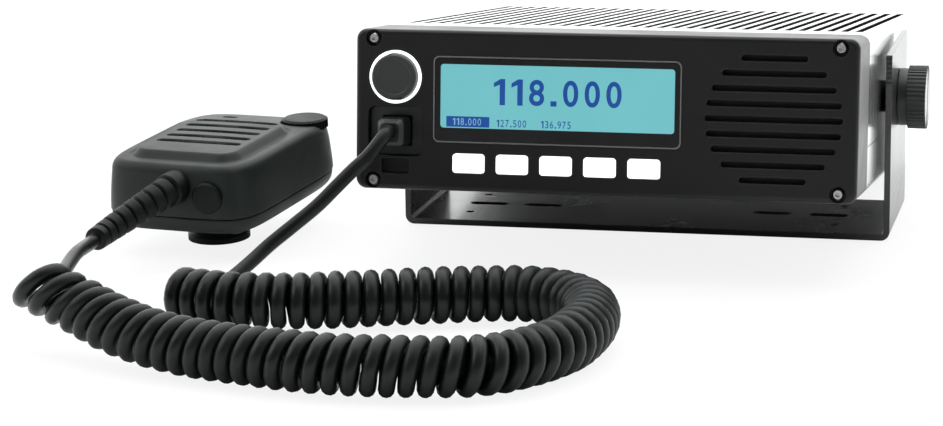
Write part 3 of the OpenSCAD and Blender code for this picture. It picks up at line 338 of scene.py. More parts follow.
def front_shell_rings(cfg):
    """The front moulding: rings up the drafted side, round the shoulder and in over the crowned top. On
    the top, height is raised by a smooth step inside the grille panel and cut down inside its slots and
    the dial's seat. The left wall is held in at the talk key's pocket."""
    angles = mic_outline(520, cfg.corner_power)
    side_z = np.arange(MIC_SEAM + 0.0007, MIC_TOP - 0.0046, 0.0006)
    side_in = 0.0012 * ((side_z - side_z[0]) / (side_z[-1] - side_z[0])) ** 1.5
    bend = np.linspace(0, math.pi / 2, 14)[1:]
    bend_in = side_in[-1] + 0.0033 * (1 - np.cos(bend))
    bend_z = side_z[-1] + (MIC_TOP - 0.0003 - side_z[-1]) * np.sin(bend)
    share = np.linspace(1, 0.006, 124)[1:]
    low = mic_rings(angles, np.array([0.028, 0.016, 0.006, 0.0009, 0.0004]),
                    np.full(5, MIC_SEAM + 0.00015), cfg.corner_power)
    wall = mic_rings(angles, np.concatenate([[0.0], side_in, bend_in]),
                     np.concatenate([[MIC_SEAM + 0.0005], side_z, bend_z]), cfg.corner_power)
    rim = wall[-1]
    top = rim[None, :, :] * np.array([1, 1, 0]) * share[:, None, None]
    top[..., 2] = bend_z[-1] + 0.0005 * (1 - share[:, None] ** 2)
    rings = np.concatenate([low, wall, top])
    x, y, z = rings[..., 0], rings[..., 1], rings[..., 2]
    upper = z > MIC_TOP - 0.0042
    panel = box_distance(x, y - GRILLE_Y, *GRILLE_HALF, GRILLE_CORNER)
    shape = cfg.panel_raise * smooth(-panel / 0.0032) - 0.0006 * np.exp(-((panel - 0.0004) / 0.0009) ** 2)
    for i in range(-2, 3):
        d = slot_distance(x, y - SLOT_Y - i * SLOT_PITCH, SLOT_HALF, cfg.slot_width / 2)
        shape = shape - cfg.slot_depth * smooth(0.5 - d / 0.0005)
    hole = slot_distance(x + 0.0135, y - 0.03525, 0.003, 0.0013)
    shape = shape - 0.0026 * smooth(0.5 - hole / 0.0005)
    fall = FAR_FALL * np.clip((y - 0.0189) / 0.024, 0, 1) * np.clip((z - 0.0195) / 0.0045, 0, 1)
    z = np.where(upper, z + shape, z) - fall
    seat = np.hypot(x - DIAL_AT[0], y - DIAL_AT[1]) - DIAL_SEAT_R
    z = np.where(upper & (seat < 0), np.minimum(z, DIAL_SEAT_Z), z)
    pocket = np.maximum(np.abs(y - POCKET_AT[0]) - POCKET_HALF[0], np.abs(z - POCKET_AT[1]) - POCKET_HALF[1])
    x = np.where((pocket < 0) & (x < -0.02), np.maximum(x, POCKET_X), x)
    return mic_place(np.stack([x, y, z], axis=-1))


def back_shell_rings(cfg):
    """The back moulding: a flat foot, a curved slope out to the seam, and a flat top under the front
    moulding."""
    angles = mic_outline(300, cfg.corner_power)
    t = np.linspace(0, math.pi / 2, 16)
    slope_in = 0.0003 + 0.0045 * (1 - np.sin(t)) ** 1.15
    slope_z = (MIC_SEAM - 0.00015) * (1 - np.cos(t)) ** 0.95
    foot = np.linspace(0.97, 0.02, 46)[::-1]
    wall = mic_rings(angles, slope_in, slope_z, cfg.corner_power)
    base = wall[0][None] * foot[:, None, None]
    base[..., 2] = 0.0
    x, y = base[..., 0], base[..., 1]
    for sx in (-1, 1):
        for sy in (-1, 1):
            d = np.hypot(x - sx * BACK_SCREW_AT[0], y - sy * BACK_SCREW_AT[1]) - 0.0027
            base[..., 2] += 0.0013 * smooth(0.5 - d / 0.0006)
    lid = wall[-1][None] * np.linspace(0.985, 0.02, 4)[:, None, None]
    lid[..., 2] = MIC_SEAM - 0.00012
    return mic_place(np.concatenate([base, wall, lid]))


def relief_rings(cfg):
    """The ribbed sleeve: rings along a gentle curve, whose radius tapers and dips in a groove between the
    ribs."""
    out = mic_place([0.0, -1.0, 0.0]) - mic_place([0.0, 0.0, 0.0])
    start = RELIEF_BASE - 0.0025 * unit(out)
    span = np.linalg.norm(RELIEF_TIP - start)
    t = np.linspace(0, 1, 170)[:, None]
    first, last = unit(out) * span, RELIEF_DIR * span
    path = ((2 * t**3 - 3 * t**2 + 1) * start + (t**3 - 2 * t**2 + t) * first
            + (3 * t**2 - 2 * t**3) * RELIEF_TIP + (t**3 - t**2) * last)
    s = lengths(path)
    u = s / s[-1]
    collar = 0.0066 - 0.0004 * u
    taper = 0.0064 + (0.0044 - 0.0064) * u
    foot_end, ribs_end = 0.13, 0.97
    phase = (u - foot_end) / (ribs_end - foot_end) * cfg.rib_count
    within = (phase > 0) & (phase < cfg.rib_count)
    wave = np.abs((phase % 1.0) - 0.16) / 0.16
    groove = np.where(within, smooth(1.25 - wave * 1.25), 0.0)
    radius = np.where(u < foot_end, collar, taper) - 0.0013 * groove
    radius = radius * (1 - 0.42 * smooth((u - 0.975) / 0.025))
    return tube_rings(path, radius, 44)


# ---- Display faces ----


def rounded_plate(name, u0, u1, w0, w1, corner, depth0, depth1, crown=0.0, rings=10):
    """A thin plate on the panel: rounded-rectangle rings from its back middle, round the rim and in over a
    front whose middle stands out by the crown, following 1 - r^2."""
    a = np.linspace(0, 2 * math.pi, 97)[:-1]
    half_x, half_y = (u1 - u0) / 2, (w1 - w0) / 2
    cx = np.sign(np.cos(a)) * (half_x - corner)
    cy = np.sign(np.sin(a)) * (half_y - corner)
    edge = np.stack([cx + corner * np.cos(a), cy + corner * np.sin(a)], axis=-1)
    share = np.concatenate([np.linspace(0.02, 1, 4), np.linspace(1, 0.02, rings)])
    depth = np.concatenate([np.full(4, depth0), depth1 + crown * (1 - np.linspace(1, 0.02, rings) ** 2)])
    x = (u0 + u1) / 2 + edge[None, :, 0] * share[:, None]
    up = (w0 + w1) / 2 + edge[None, :, 1] * share[:, None]
    y = FACE_Y - np.broadcast_to(depth[:, None], x.shape)
    return closed_rings(name, radio_place(np.stack([x, y, up], axis=-1)), shade_smooth=False)


def prism(outline):
    """A flat shape of unit thickness from its outline, taken once round in the direction that faces it."""
    n = len(outline)
    low = [(x, y, 0.0) for x, y in outline]
    high = [(x, y, 1.0) for x, y in outline]
    sides = [(k, (k + 1) % n, n + (k + 1) % n, n + k) for k in range(n)]
    return np.array(low + high), [tuple(range(n - 1, -1, -1)), tuple(range(n, 2 * n))] + sides


def glyph(letter, weight):
    """One character in a unit box: a flagged bar for the one, a square point, else the plain built-in
    face."""
    if letter == "1":
        return prism([(0.52, 0.0), (1.0, 0.0), (1.0, 1.0),
                      (0.60, 1.0), (0.0, 0.84), (0.0, 0.68), (0.52, 0.78)])
    if letter == ".":
        return prism([(0.0, 0.0), (1.0, 0.0), (1.0, 1.0), (0.0, 1.0)])
    curve = bpy.data.curves.new("glyph", "FONT")
    curve.body = letter
    curve.extrude = 0.02
    curve.offset = weight
    maker = bpy.data.objects.new("glyph_maker", curve)
    bpy.context.scene.collection.objects.link(maker)
    bpy.context.view_layer.update()
    mesh = bpy.data.meshes.new_from_object(maker)
    bpy.data.objects.remove(maker)
    bpy.data.curves.remove(curve)
    p = np.empty(len(mesh.vertices) * 3)
    mesh.vertices.foreach_get("co", p)
    p = p.reshape(-1, 3)
    faces = [tuple(f.vertices) for f in mesh.polygons]
    bpy.data.meshes.remove(mesh)
    return (p - p.min(0)) / (p.max(0) - p.min(0)), faces


def numerals(name, text, u0, u1, w0, w1, depth, weight):
    """Numerals laid out one by one between two edges of the panel: a one takes 0.75 of a figure's width
    and a point 0.4, with 0.42 of a width between them."""
    widths = np.array([0.75 if c == "1" else 0.4 if c == "." else 1.0 for c in text])
    starts = np.concatenate([[0.0], np.cumsum(widths + 0.42)[:-1]])
    total = starts[-1] + widths[-1]
    points, faces, count = [], [], 0
    for letter, start, width in zip(text, starts, widths):
        p, f = glyph(letter, weight)
        tall = 0.2 if letter == "." else 1.0
        x = u0 + (start + p[:, 0] * width) / total * (u1 - u0)
        up = w0 + p[:, 1] * tall * (w1 - w0)
        y = FACE_Y - depth - p[:, 2] * 0.00003
        points.append(radio_place(np.stack([x, y, up], axis=-1)))
        faces.extend([tuple(k + count for k in face) for face in f])
        count += len(p)
    return add_mesh(name, np.concatenate(points), faces, shade_smooth=False)


# ---- Shader groups ----


def socket_kind(value):
    if isinstance(value, float):
        return "NodeSocketFloat"
    return "NodeSocketColor" if len(value) == 4 else "NodeSocketVector"


class Graph:
    """A node tree with short ways to add nodes and join them."""

    def __init__(self, tree):
        self.tree = tree

    def add(self, kind, settings=None, **inputs):
        node = self.tree.nodes.new("ShaderNode" + kind)
        for key, value in (settings or {}).items():
            setattr(node, key, value)
        for key, value in inputs.items():
            by_number = key[0] == "i" and key[1:].isdigit()
            self.put(node.inputs[int(key[1:]) if by_number else key.replace("_", " ")], value)
        return node

    def put(self, socket, value):
        if isinstance(value, bpy.types.NodeSocket):
            self.tree.links.new(value, socket)
        else:
            socket.default_value = value


def make_group(name, inputs, outputs, build):
    """A reusable effect: inputs and outputs are names with their default values."""
    tree = bpy.data.node_groups.new(name, "ShaderNodeTree")
    for key, value in inputs.items():
        socket = tree.interface.new_socket(name=key, in_out="INPUT", socket_type=socket_kind(value))
        socket.default_value = value
    for key, value in outputs.items():
        tree.interface.new_socket(name=key, in_out="OUTPUT", socket_type=socket_kind(value))
    g = Graph(tree)
    entry = tree.nodes.new("NodeGroupInput")
    leave = tree.nodes.new("NodeGroupOutput")
    for key, value in build(g, entry.outputs).items():
        g.put(leave.inputs[key], value)
    return tree


def build_grain(g, given):
    """Moulded or blasted grain: two sizes of noise added, times a depth."""
    fine = g.add("TexNoise", Vector=given["Vector"], Scale=given["Scale"], Detail=3.0, Roughness=0.6)
    wide = g.add("Math", {"operation": "MULTIPLY"}, i0=given["Scale"], i1=0.13)
    soft = g.add("TexNoise", Vector=given["Vector"], Scale=wide.outputs[0], Detail=2.0, Roughness=0.5)
    both = g.add("Math", {"operation": "MULTIPLY_ADD"}, i0=soft.outputs["Fac"], i1=0.7,
                 i2=fine.outputs["Fac"])
    height = g.add("Math", {"operation": "MULTIPLY"}, i0=both.outputs[0], i1=given["Depth"])
    return {"Height": height.outputs[0], "Mask": fine.outputs["Fac"]}


def build_smudge(g, given):
    """Handling: large soft noise, spread between a clean and a smudged roughness, and a mask for tinting."""
    noise = g.add("TexNoise", Vector=given["Vector"], Scale=given["Scale"], Detail=5.0, Roughness=0.62,
                  Distortion=0.6)
    ramp = g.add("MapRange", {"interpolation_type": "SMOOTHSTEP"}, Value=noise.outputs["Fac"], From_Min=0.36,
                 From_Max=0.66, To_Min=0.0, To_Max=1.0)
    rough = g.add("MapRange", Value=ramp.outputs[0], From_Min=0.0, From_Max=1.0, To_Min=given["Clean"],
                  To_Max=given["Smudged"])
    return {"Roughness": rough.outputs[0], "Mask": ramp.outputs[0]}


def build_edges(g, given):
    """Edges: the normal of a rounded edge, and a mask where it leaves the true one, broken up by noise."""
    rounded = g.add("Bevel", {"samples": 4}, Radius=given["Radius"])
    true = g.add("NewGeometry")
    turn = g.add("VectorMath", {"operation": "DOT_PRODUCT"}, i0=rounded.outputs[0],
                 i1=true.outputs["True Normal"])
    lift = g.add("MapRange", Value=turn.outputs["Value"], From_Min=0.985, From_Max=0.80, To_Min=0.0,
                 To_Max=1.0)
    noise = g.add("TexNoise", Vector=given["Vector"], Scale=given["Break-up"], Detail=4.0, Roughness=0.7)
    broken = g.add("MapRange", Value=noise.outputs["Fac"], From_Min=0.38, From_Max=0.62, To_Min=0.25,
                   To_Max=1.0)
    mask = g.add("Math", {"operation": "MULTIPLY"}, i0=lift.outputs[0], i1=broken.outputs[0])
    worn = g.add("Math", {"operation": "MULTIPLY", "use_clamp": True}, i0=mask.outputs[0], i1=given["Amount"])
    tint = g.add("Mix", {"data_type": "RGBA"}, i0=worn.outputs[0], i6=given["Colour"], i7=given["Bare"])
    return {"Colour": tint.outputs[2], "Mask": worn.outputs[0], "Normal": rounded.outputs[0]}


def build_tint(g, given):
    """Slow drift of a colour between two shades over large soft patches."""
    noise = g.add("TexNoise", Vector=given["Vector"], Scale=given["Scale"], Detail=3.0, Roughness=0.5)
    mix = g.add("Mix", {"data_type": "RGBA"}, i0=noise.outputs["Fac"], i6=given["Colour A"],
                i7=given["Colour B"])
    return {"Colour": mix.outputs[2]}


BLACK = (0.02, 0.02, 0.02, 1.0)
BUMP_STRENGTH = 0.35
COAT_ROUGHNESS = 0.12


def shared_groups():
    """The effects that every finish draws on."""
    zero = (0.0, 0.0, 0.0)
    return {
        "grain": make_group("Surface grain", {"Vector": zero, "Scale": 1500.0, "Depth": 1.0},
                            {"Height": 0.0, "Mask": 0.0}, build_grain),
        "smudge": make_group("Handling smudges", {"Vector": zero, "Scale": 22.0, "Clean": 0.3,
                                                  "Smudged": 0.5},
                             {"Roughness": 0.0, "Mask": 0.0}, build_smudge),
        "edges": make_group("Edge wear", {"Vector": zero, "Radius": 0.0005, "Break-up": 260.0, "Amount": 0.4,
                                          "Colour": BLACK, "Bare": (0.2, 0.2, 0.2, 1.0)},
                            {"Colour": BLACK, "Mask": 0.0, "Normal": zero}, build_edges),
        "tint": make_group("Colour drift", {"Vector": zero, "Scale": 14.0, "Colour A": BLACK,
                                            "Colour B": BLACK},
                           {"Colour": BLACK}, build_tint),
    }


def rgba(colour, gain=1.0):
    return (*[min(c * gain, 1.0) for c in colour[:3]], 1.0)


def finish(groups, name, colour, clean=0.35, smudged=0.45, grain=1500.0, depth=0.00002, edge=0.0005, wear=0.3,
           bare=None, metal=0.0, coat=0.0, specular=0.5, drift=0.12, glow=None, glow_strength=0.0):
    """One finish: a drifting colour, worn at its edges, with smudged roughness and grain on a rounded-edge
    normal."""
    material = bpy.data.materials.new(name)
    material.use_nodes = True
    tree = material.node_tree
    tree.nodes.clear()
    g = Graph(tree)
    at = g.add("TexCoord").outputs["Object"]
    tint = g.add("Group", {"node_tree": groups["tint"]}, Vector=at, Colour_A=rgba(colour, 1 - drift),
                 Colour_B=rgba(colour, 1 + drift))
    edges = g.add("Group", {"node_tree": groups["edges"]}, Vector=at, Radius=edge, Amount=wear,
                  Colour=tint.outputs[0], Bare=rgba(bare or colour, 1.0 if bare else 3.0))
    smudge = g.add("Group", {"node_tree": groups["smudge"]}, Vector=at, Clean=clean, Smudged=smudged)
    texture = g.add("Group", {"node_tree": groups["grain"]}, Vector=at, Scale=grain, Depth=1.0)
    bump = g.add("Bump", Strength=BUMP_STRENGTH, Distance=depth, Height=texture.outputs["Height"],
                 Normal=edges.outputs["Normal"])
    shader = g.add("BsdfPrincipled", Base_Color=edges.outputs["Colour"],
                   Roughness=smudge.outputs["Roughness"], Metallic=metal, Normal=bump.outputs[0])
    shader.inputs["Specular IOR Level"].default_value = specular
    shader.inputs["Coat Weight"].default_value = coat
    shader.inputs["Coat Roughness"].default_value = COAT_ROUGHNESS
    if glow:
        shader.inputs["Emission Strength"].default_value = glow_strength
        shine = g.add("Group", {"node_tree": groups["tint"]}, Vector=at, Scale=24.0,
                      Colour_A=rgba(glow, 0.93), Colour_B=rgba(glow, 1.05))
        g.put(shader.inputs["Emission Color"], shine.outputs[0])
    out = g.add("OutputMaterial")
    tree.links.new(shader.outputs[0], out.inputs[0])
    return material


def paint(piece, material):
    if piece.data.materials:
        for slot in piece.material_slots:
            slot.material = material
    else:
        piece.data.materials.append(material)


# Which finish each frame node takes
NODE_FINISH = {
    "bracket_coat": ["bracket"],
    "panel_coat": ["front_panel", "pivot_bosses"],
    "case_coat": ["heatsink_shell", "bottom_cover", "rear_panel"],
    "bezel_metal": ["display_bezel"],
    "display_glass": ["display_glass"],
    "backlight": ["display_module"],
    "lit_ring": ["knob_light_ring"],
    "lit_key": ["key_1", "key_2", "key_3", "key_4", "key_5"],
    "key_rubber": ["key_mat"],
    "circuit_board": ["control_board", "main_board", "mic_board"],
    "plated_steel": ["encoder_body", "encoder_shaft", "encoder_plunger", "speaker_magnet", "shield_can",
                     "power_module", "mic_capsule"],
    "jack_plastic": ["jack_housing", "power_connector"],
    "plug_rubber": ["mic_plug"],
    "speaker_cloth": ["speaker_mesh"],
    "black_steel": ["speaker_frame", "mic_screws"],
    "speaker_paper": ["speaker_cone"],
    "screw_steel": ["panel_screws", "rear_screws", "clamp_stud_left", "clamp_stud_right"],
    "nickel": ["antenna_connector", "data_connector", "ground_stud"],
    "knob_black": ["select_knob", "clamp_knob_left", "clamp_knob_right"],
    "cap_grey": ["clamp_cap_left", "clamp_cap_right"],
    "mic_plastic": ["mic_front_shell", "mic_back_shell", "mic_hang_stud"],
    "mic_rubber": ["mic_ptt", "mic_dial", "mic_bung", "strain_relief"],
    "cord_rubber": ["cord_lead", "cord_coil", "cord_tail"],
}


# ---- Settings ----


class AirbandCordSettings(bpy.types.PropertyGroup):
    thickness: bpy.props.FloatProperty(
        name="Cord thickness", description="Diameter of the cord", default=0.0053, unit="LENGTH")
    coil_outer: bpy.props.FloatProperty(
        name="Coil diameter", description="Outer diameter of the curled stretch", default=0.021,
        unit="LENGTH")
    coil_pitch: bpy.props.FloatProperty(
        name="Coil pitch", description="Distance from one turn of the coil to the next", default=0.0063,
        unit="LENGTH")
    strand: bpy.props.FloatProperty(
        name="Curled strand", description="Diameter of the cord where it is curled", default=0.0057,
        unit="LENGTH")


class AirbandMicSettings(bpy.types.PropertyGroup):
    corner_power: bpy.props.FloatProperty(
        name="Corner power", description="How square the outline is: 2 is an ellipse", default=5.9)
    panel_raise: bpy.props.FloatProperty(
        name="Grille rise", description="Height of the raised grille panel", default=0.0025, unit="LENGTH")
    slot_width: bpy.props.FloatProperty(
        name="Slot width", description="Width of a grille slot", default=0.0033, unit="LENGTH")
    slot_depth: bpy.props.FloatProperty(
        name="Slot depth", description="Depth of a grille slot", default=0.0038, unit="LENGTH")
    rib_count: bpy.props.IntProperty(
        name="Ribs", description="Number of ribs on the strain relief", default=8)


class AirbandDisplaySettings(bpy.types.PropertyGroup):
    main_numerals: bpy.props.StringProperty(
        name="Main numerals", description="The large frequency shown", default="118.000")
    backlight: bpy.props.FloatVectorProperty(
        name="Backlight", description="Colour of the lit window", default=(0.175, 0.575, 0.62),
        subtype="COLOR")
    ink: bpy.props.FloatVectorProperty(
        name="Numeral colour", description="Colour of the large numerals", default=(0.004, 0.065, 0.30),
        subtype="COLOR")
    glow: bpy.props.FloatProperty(
        name="Display glow", description="Strength of the backlight", default=0.84)


class AirbandFinishSettings(bpy.types.PropertyGroup):
    coat: bpy.props.FloatVectorProperty(
        name="Case coat", description="Colour of the painted and anodised metal",
        default=(0.0085, 0.0084, 0.0083), subtype="COLOR")
    mic_plastic: bpy.props.FloatVectorProperty(
        name="Microphone plastic", description="Colour of the microphone's shells",
        default=(0.0115, 0.0150, 0.0142), subtype="COLOR")
    rubber: bpy.props.FloatVectorProperty(
        name="Rubber", description="Colour of the cord and the soft parts", default=(0.0026, 0.0036, 0.0036),
        subtype="COLOR")
    wear: bpy.props.FloatProperty(
        name="Edge wear", description="How much bare material shows at the edges", default=0.25)


class AirbandStageSettings(bpy.types.PropertyGroup):
    floor_size: bpy.props.FloatProperty(
        name="Floor size", description="Width of the studio floor", default=14.0, unit="LENGTH")
    floor_lift: bpy.props.FloatProperty(
        name="Floor lift", description="How far the floor's shadows are washed out to the eye", default=0.86)
    back_glow: bpy.props.FloatProperty(
        name="Glow behind", description="Brightness of the white studio behind the object", default=2.1)
    front_glow: bpy.props.FloatProperty(
        name="Glow in front", description="Brightness of the studio before the object", default=0.27)
    top_power: bpy.props.FloatProperty(
        name="Overhead light", description="Power of the overhead soft box", default=20.0, subtype="POWER")
    side_power: bpy.props.FloatProperty(
        name="Side light", description="Power of the soft box at the left", default=7.0, subtype="POWER")
    lens: bpy.props.FloatProperty(
        name="Lens", description="Focal length on a 36 mm sensor", default=111.49)


# ---- Operators ----


class AIRBAND_OT_stage(bpy.types.Operator):
    """Builds the camera, the pale floor and the soft studio light"""

    bl_idname = "airband.stage"
    bl_label = "Build stage"

    def execute(self, context):
        cfg = context.scene.airband_stage
        context.scene.view_settings.view_transform = "Standard"
        self.camera(context, cfg)
        self.floor(cfg)
        self.world(context, cfg)
        self.soft_box("overhead_box", (0.0, 0.35, 1.5), (0.0, 0.02, -1.0), 1.9, cfg.top_power)
        self.soft_box("left_box", (-1.3, -0.7, 1.1), (1.3, 0.62, -1.05), 0.9, cfg.side_power)
        return {"FINISHED"}

    def camera(self, context, cfg):
        """Looks along an azimuth and elevation with a slight roll, given as the columns of its rotation."""
        azimuth, elevation, roll = (math.radians(a) for a in CAMERA_TURN)
        ahead = np.array([-math.sin(azimuth) * math.cos(elevation), math.cos(azimuth) * math.cos(elevation),
                          -math.sin(elevation)])
        right = np.array([math.cos(azimuth), math.sin(azimuth), 0.0])
        over = np.cross(right, ahead)
        right, over = (right * math.cos(roll) + over * math.sin(roll),
                       over * math.cos(roll) - right * math.sin(roll))
        data = bpy.data.cameras.new("photo_camera")
        data.lens = cfg.lens
        data.sensor_width = SENSOR_WIDTH
        data.shift_x, data.shift_y = CAMERA_SHIFT
        data.clip_end = 60.0
        camera = bpy.data.objects.new("photo_camera", data)
        turn = Matrix([[right[k], over[k], -ahead[k]] for k in range(3)]).to_4x4()
        turn.translation = CAMERA_AT
        camera.matrix_world = turn
        context.scene.collection.objects.link(camera)
        context.scene.camera = camera

    def floor(self, cfg):
        """A flat square grid just under the object, dipping by a hair's breadth with the square of its
        radius."""
        n = 25
        t = np.linspace(-0.5, 0.5, n) * cfg.floor_size
        x, y = np.meshgrid(t, t, indexing="ij")
        z = -0.00008 - 1e-6 * (x**2 + y**2)
        i, k = (a.ravel() for a in np.meshgrid(np.arange(n - 1), np.arange(n - 1), indexing="ij"))
        a = i * n + k
        faces = np.stack([a, a + n, a + n + 1, a + 1], axis=-1)
        piece = add_mesh("studio_floor", np.stack([x, y, z], axis=-1).reshape(-1, 3), faces.tolist())
        material = bpy.data.materials.new("studio_white")
        material.use_nodes = True
        g = Graph(material.node_tree)
        shader = material.node_tree.nodes["Principled BSDF"]
        noise = g.add("TexNoise", Scale=9.0, Detail=2.0)
        mix = g.add("Mix", {"data_type": "RGBA"}, i0=noise.outputs["Fac"], i6=(0.90, 0.91, 0.91, 1.0),
                    i7=(0.93, 0.93, 0.93, 1.0))
        g.put(shader.inputs["Base Color"], mix.outputs[2])
        shader.inputs["Roughness"].default_value = 0.6
        white = g.add("Emission", Color=(1.0, 1.0, 1.0, 1.0), Strength=1.0)
        rays = g.add("LightPath")
        lift = g.add("Math", {"operation": "MULTIPLY"}, i0=rays.outputs["Is Camera Ray"], i1=cfg.floor_lift)
        mix_shader = g.add("MixShader", Fac=lift.outputs[0], i1=shader.outputs[0], i2=white.outputs[0])
        g.put(material.node_tree.nodes["Material Output"].inputs[0], mix_shader.outputs[0])
        piece.data.materials.append(material)

    def world(self, context, cfg):
        """White all round to the eye; as a light it is bright behind the object and dim in front of it."""
        world = bpy.data.worlds.new("studio_world")
        world.use_nodes = True
        context.scene.world = world
        tree = world.node_tree
        tree.nodes.clear()
        g = Graph(tree)
        place = g.add("TexCoord")
        split = g.add("SeparateXYZ", Vector=place.outputs["Generated"])
        ramp = g.add("MapRange", {"interpolation_type": "SMOOTHSTEP"}, Value=split.outputs["Y"],
                     From_Min=-0.9, From_Max=0.75, To_Min=cfg.front_glow, To_Max=cfg.back_glow)
        glow = g.add("Background", Color=(0.985, 1.0, 1.0, 1.0), Strength=ramp.outputs[0])
        seen = g.add("Background", Color=(1.0, 1.0, 1.0, 1.0), Strength=1.0)
        rays = g.add("LightPath")
        mix = g.add("MixShader", Fac=rays.outputs["Is Camera Ray"], i1=glow.outputs[0], i2=seen.outputs[0])
        out = g.add("OutputWorld")
        tree.links.new(mix.outputs[0], out.inputs[0])

    def soft_box(self, name, at, towards, size, power):
        data = bpy.data.lights.new(name, "AREA")
        data.size = size
        data.energy = power
        light = bpy.data.objects.new(name, data)
        ahead = np.array(towards, float)
        ahead /= np.linalg.norm(ahead)
        right = unit(np.cross(ahead, [0.0, 0.1, 1.0]))
        over = np.cross(right, ahead)
        turn = Matrix([[right[k], over[k], -ahead[k]] for k in range(3)]).to_4x4()
        turn.translation = at
        light.matrix_world = turn
        bpy.context.scene.collection.objects.link(light)


class AIRBAND_OT_cords(bpy.types.Operator):
    """Builds the plain lead from the plug and the coil with its tail into the microphone"""

    bl_idname = "airband.cords"
    bl_label = "Build cords"

    def execute(self, context):
        cfg = context.scene.airband_cord
        radius = cfg.thickness / 2
        coil = coil_path(cfg.coil_outer, cfg.strand, cfg.coil_pitch)
        path = lead_path(coil[0])
        lead = closed_rings("lead_cord", tube_rings(path, radius, 16))
        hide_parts("cord_lead")
        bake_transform(lead)
        plain = tail_path(coil[-1])[1:]
        path = resample(np.vstack([coil, plain]), 0.0020)[::-1]
        thin = smooth((lengths(path) - lengths(plain)[-1]) / 0.012 + 0.5)
        curl = closed_rings("curly_cord", tube_rings(path, radius + (cfg.strand / 2 - radius) * thin, 12))
        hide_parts("cord_coil", "cord_tail")
        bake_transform(curl)
        return {"FINISHED"}


class AIRBAND_OT_microphone(bpy.types.Operator):
    """Builds the microphone's two mouldings and its ribbed strain relief"""

    bl_idname = "airband.microphone"
    bl_label = "Build microphone"

    def execute(self, context):
        cfg = context.scene.airband_mic
        parts = [
            ("mic_front_moulding", front_shell_rings(cfg), "mic_front_shell", "mic_plastic"),
            ("mic_back_moulding", back_shell_rings(cfg), "mic_back_shell", "mic_plastic"),
            ("ribbed_relief", relief_rings(cfg), "strain_relief", "mic_rubber"),
        ]
        for name, rings, node, slot in parts:
            piece = closed_rings(name, rings)
            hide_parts(node)
            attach(piece, "microphone")
        return {"FINISHED"}


class AIRBAND_OT_display(bpy.types.Operator):
    """Builds the lit window and its numerals"""

    bl_idname = "airband.display"
    bl_label = "Build display"

    def execute(self, context):
        cfg = context.scene.airband_display
        at = -0.0001 + 0.00003
        window = rounded_plate("lit_window", *WINDOW_BOX, 0.0012, at - 0.00002, at + 0.00003, crown=0.00002)
        marker = rounded_plate("channel_marker", *MARKER_BOX, 0.0002, at + 0.00004, at + 0.00007)
        ink_at = at + 0.00009
        numbers = [
            ("main_numerals", cfg.main_numerals, -0.0414, 0.0072, 0.0009, 0.0107, 0.018),
            ("second_numerals", "127.500", -0.0402, -0.0289, -0.0073, -0.0046, 0.0),
            ("third_numerals", "136.975", -0.0232, -0.0119, -0.0073, -0.0046, 0.0),
            ("marker_numerals", cfg.main_numerals, -0.0571, -0.0462, -0.0070, -0.0044, 0.0),
        ]
        pieces = [window, marker]
        for name, text, u0, u1, w0, w1, weight in numbers:
            pieces.append(numerals(name, text, u0, u1, w0, w1, ink_at, weight))
        for piece in pieces:
            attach(piece, "radio")
        return {"FINISHED"}


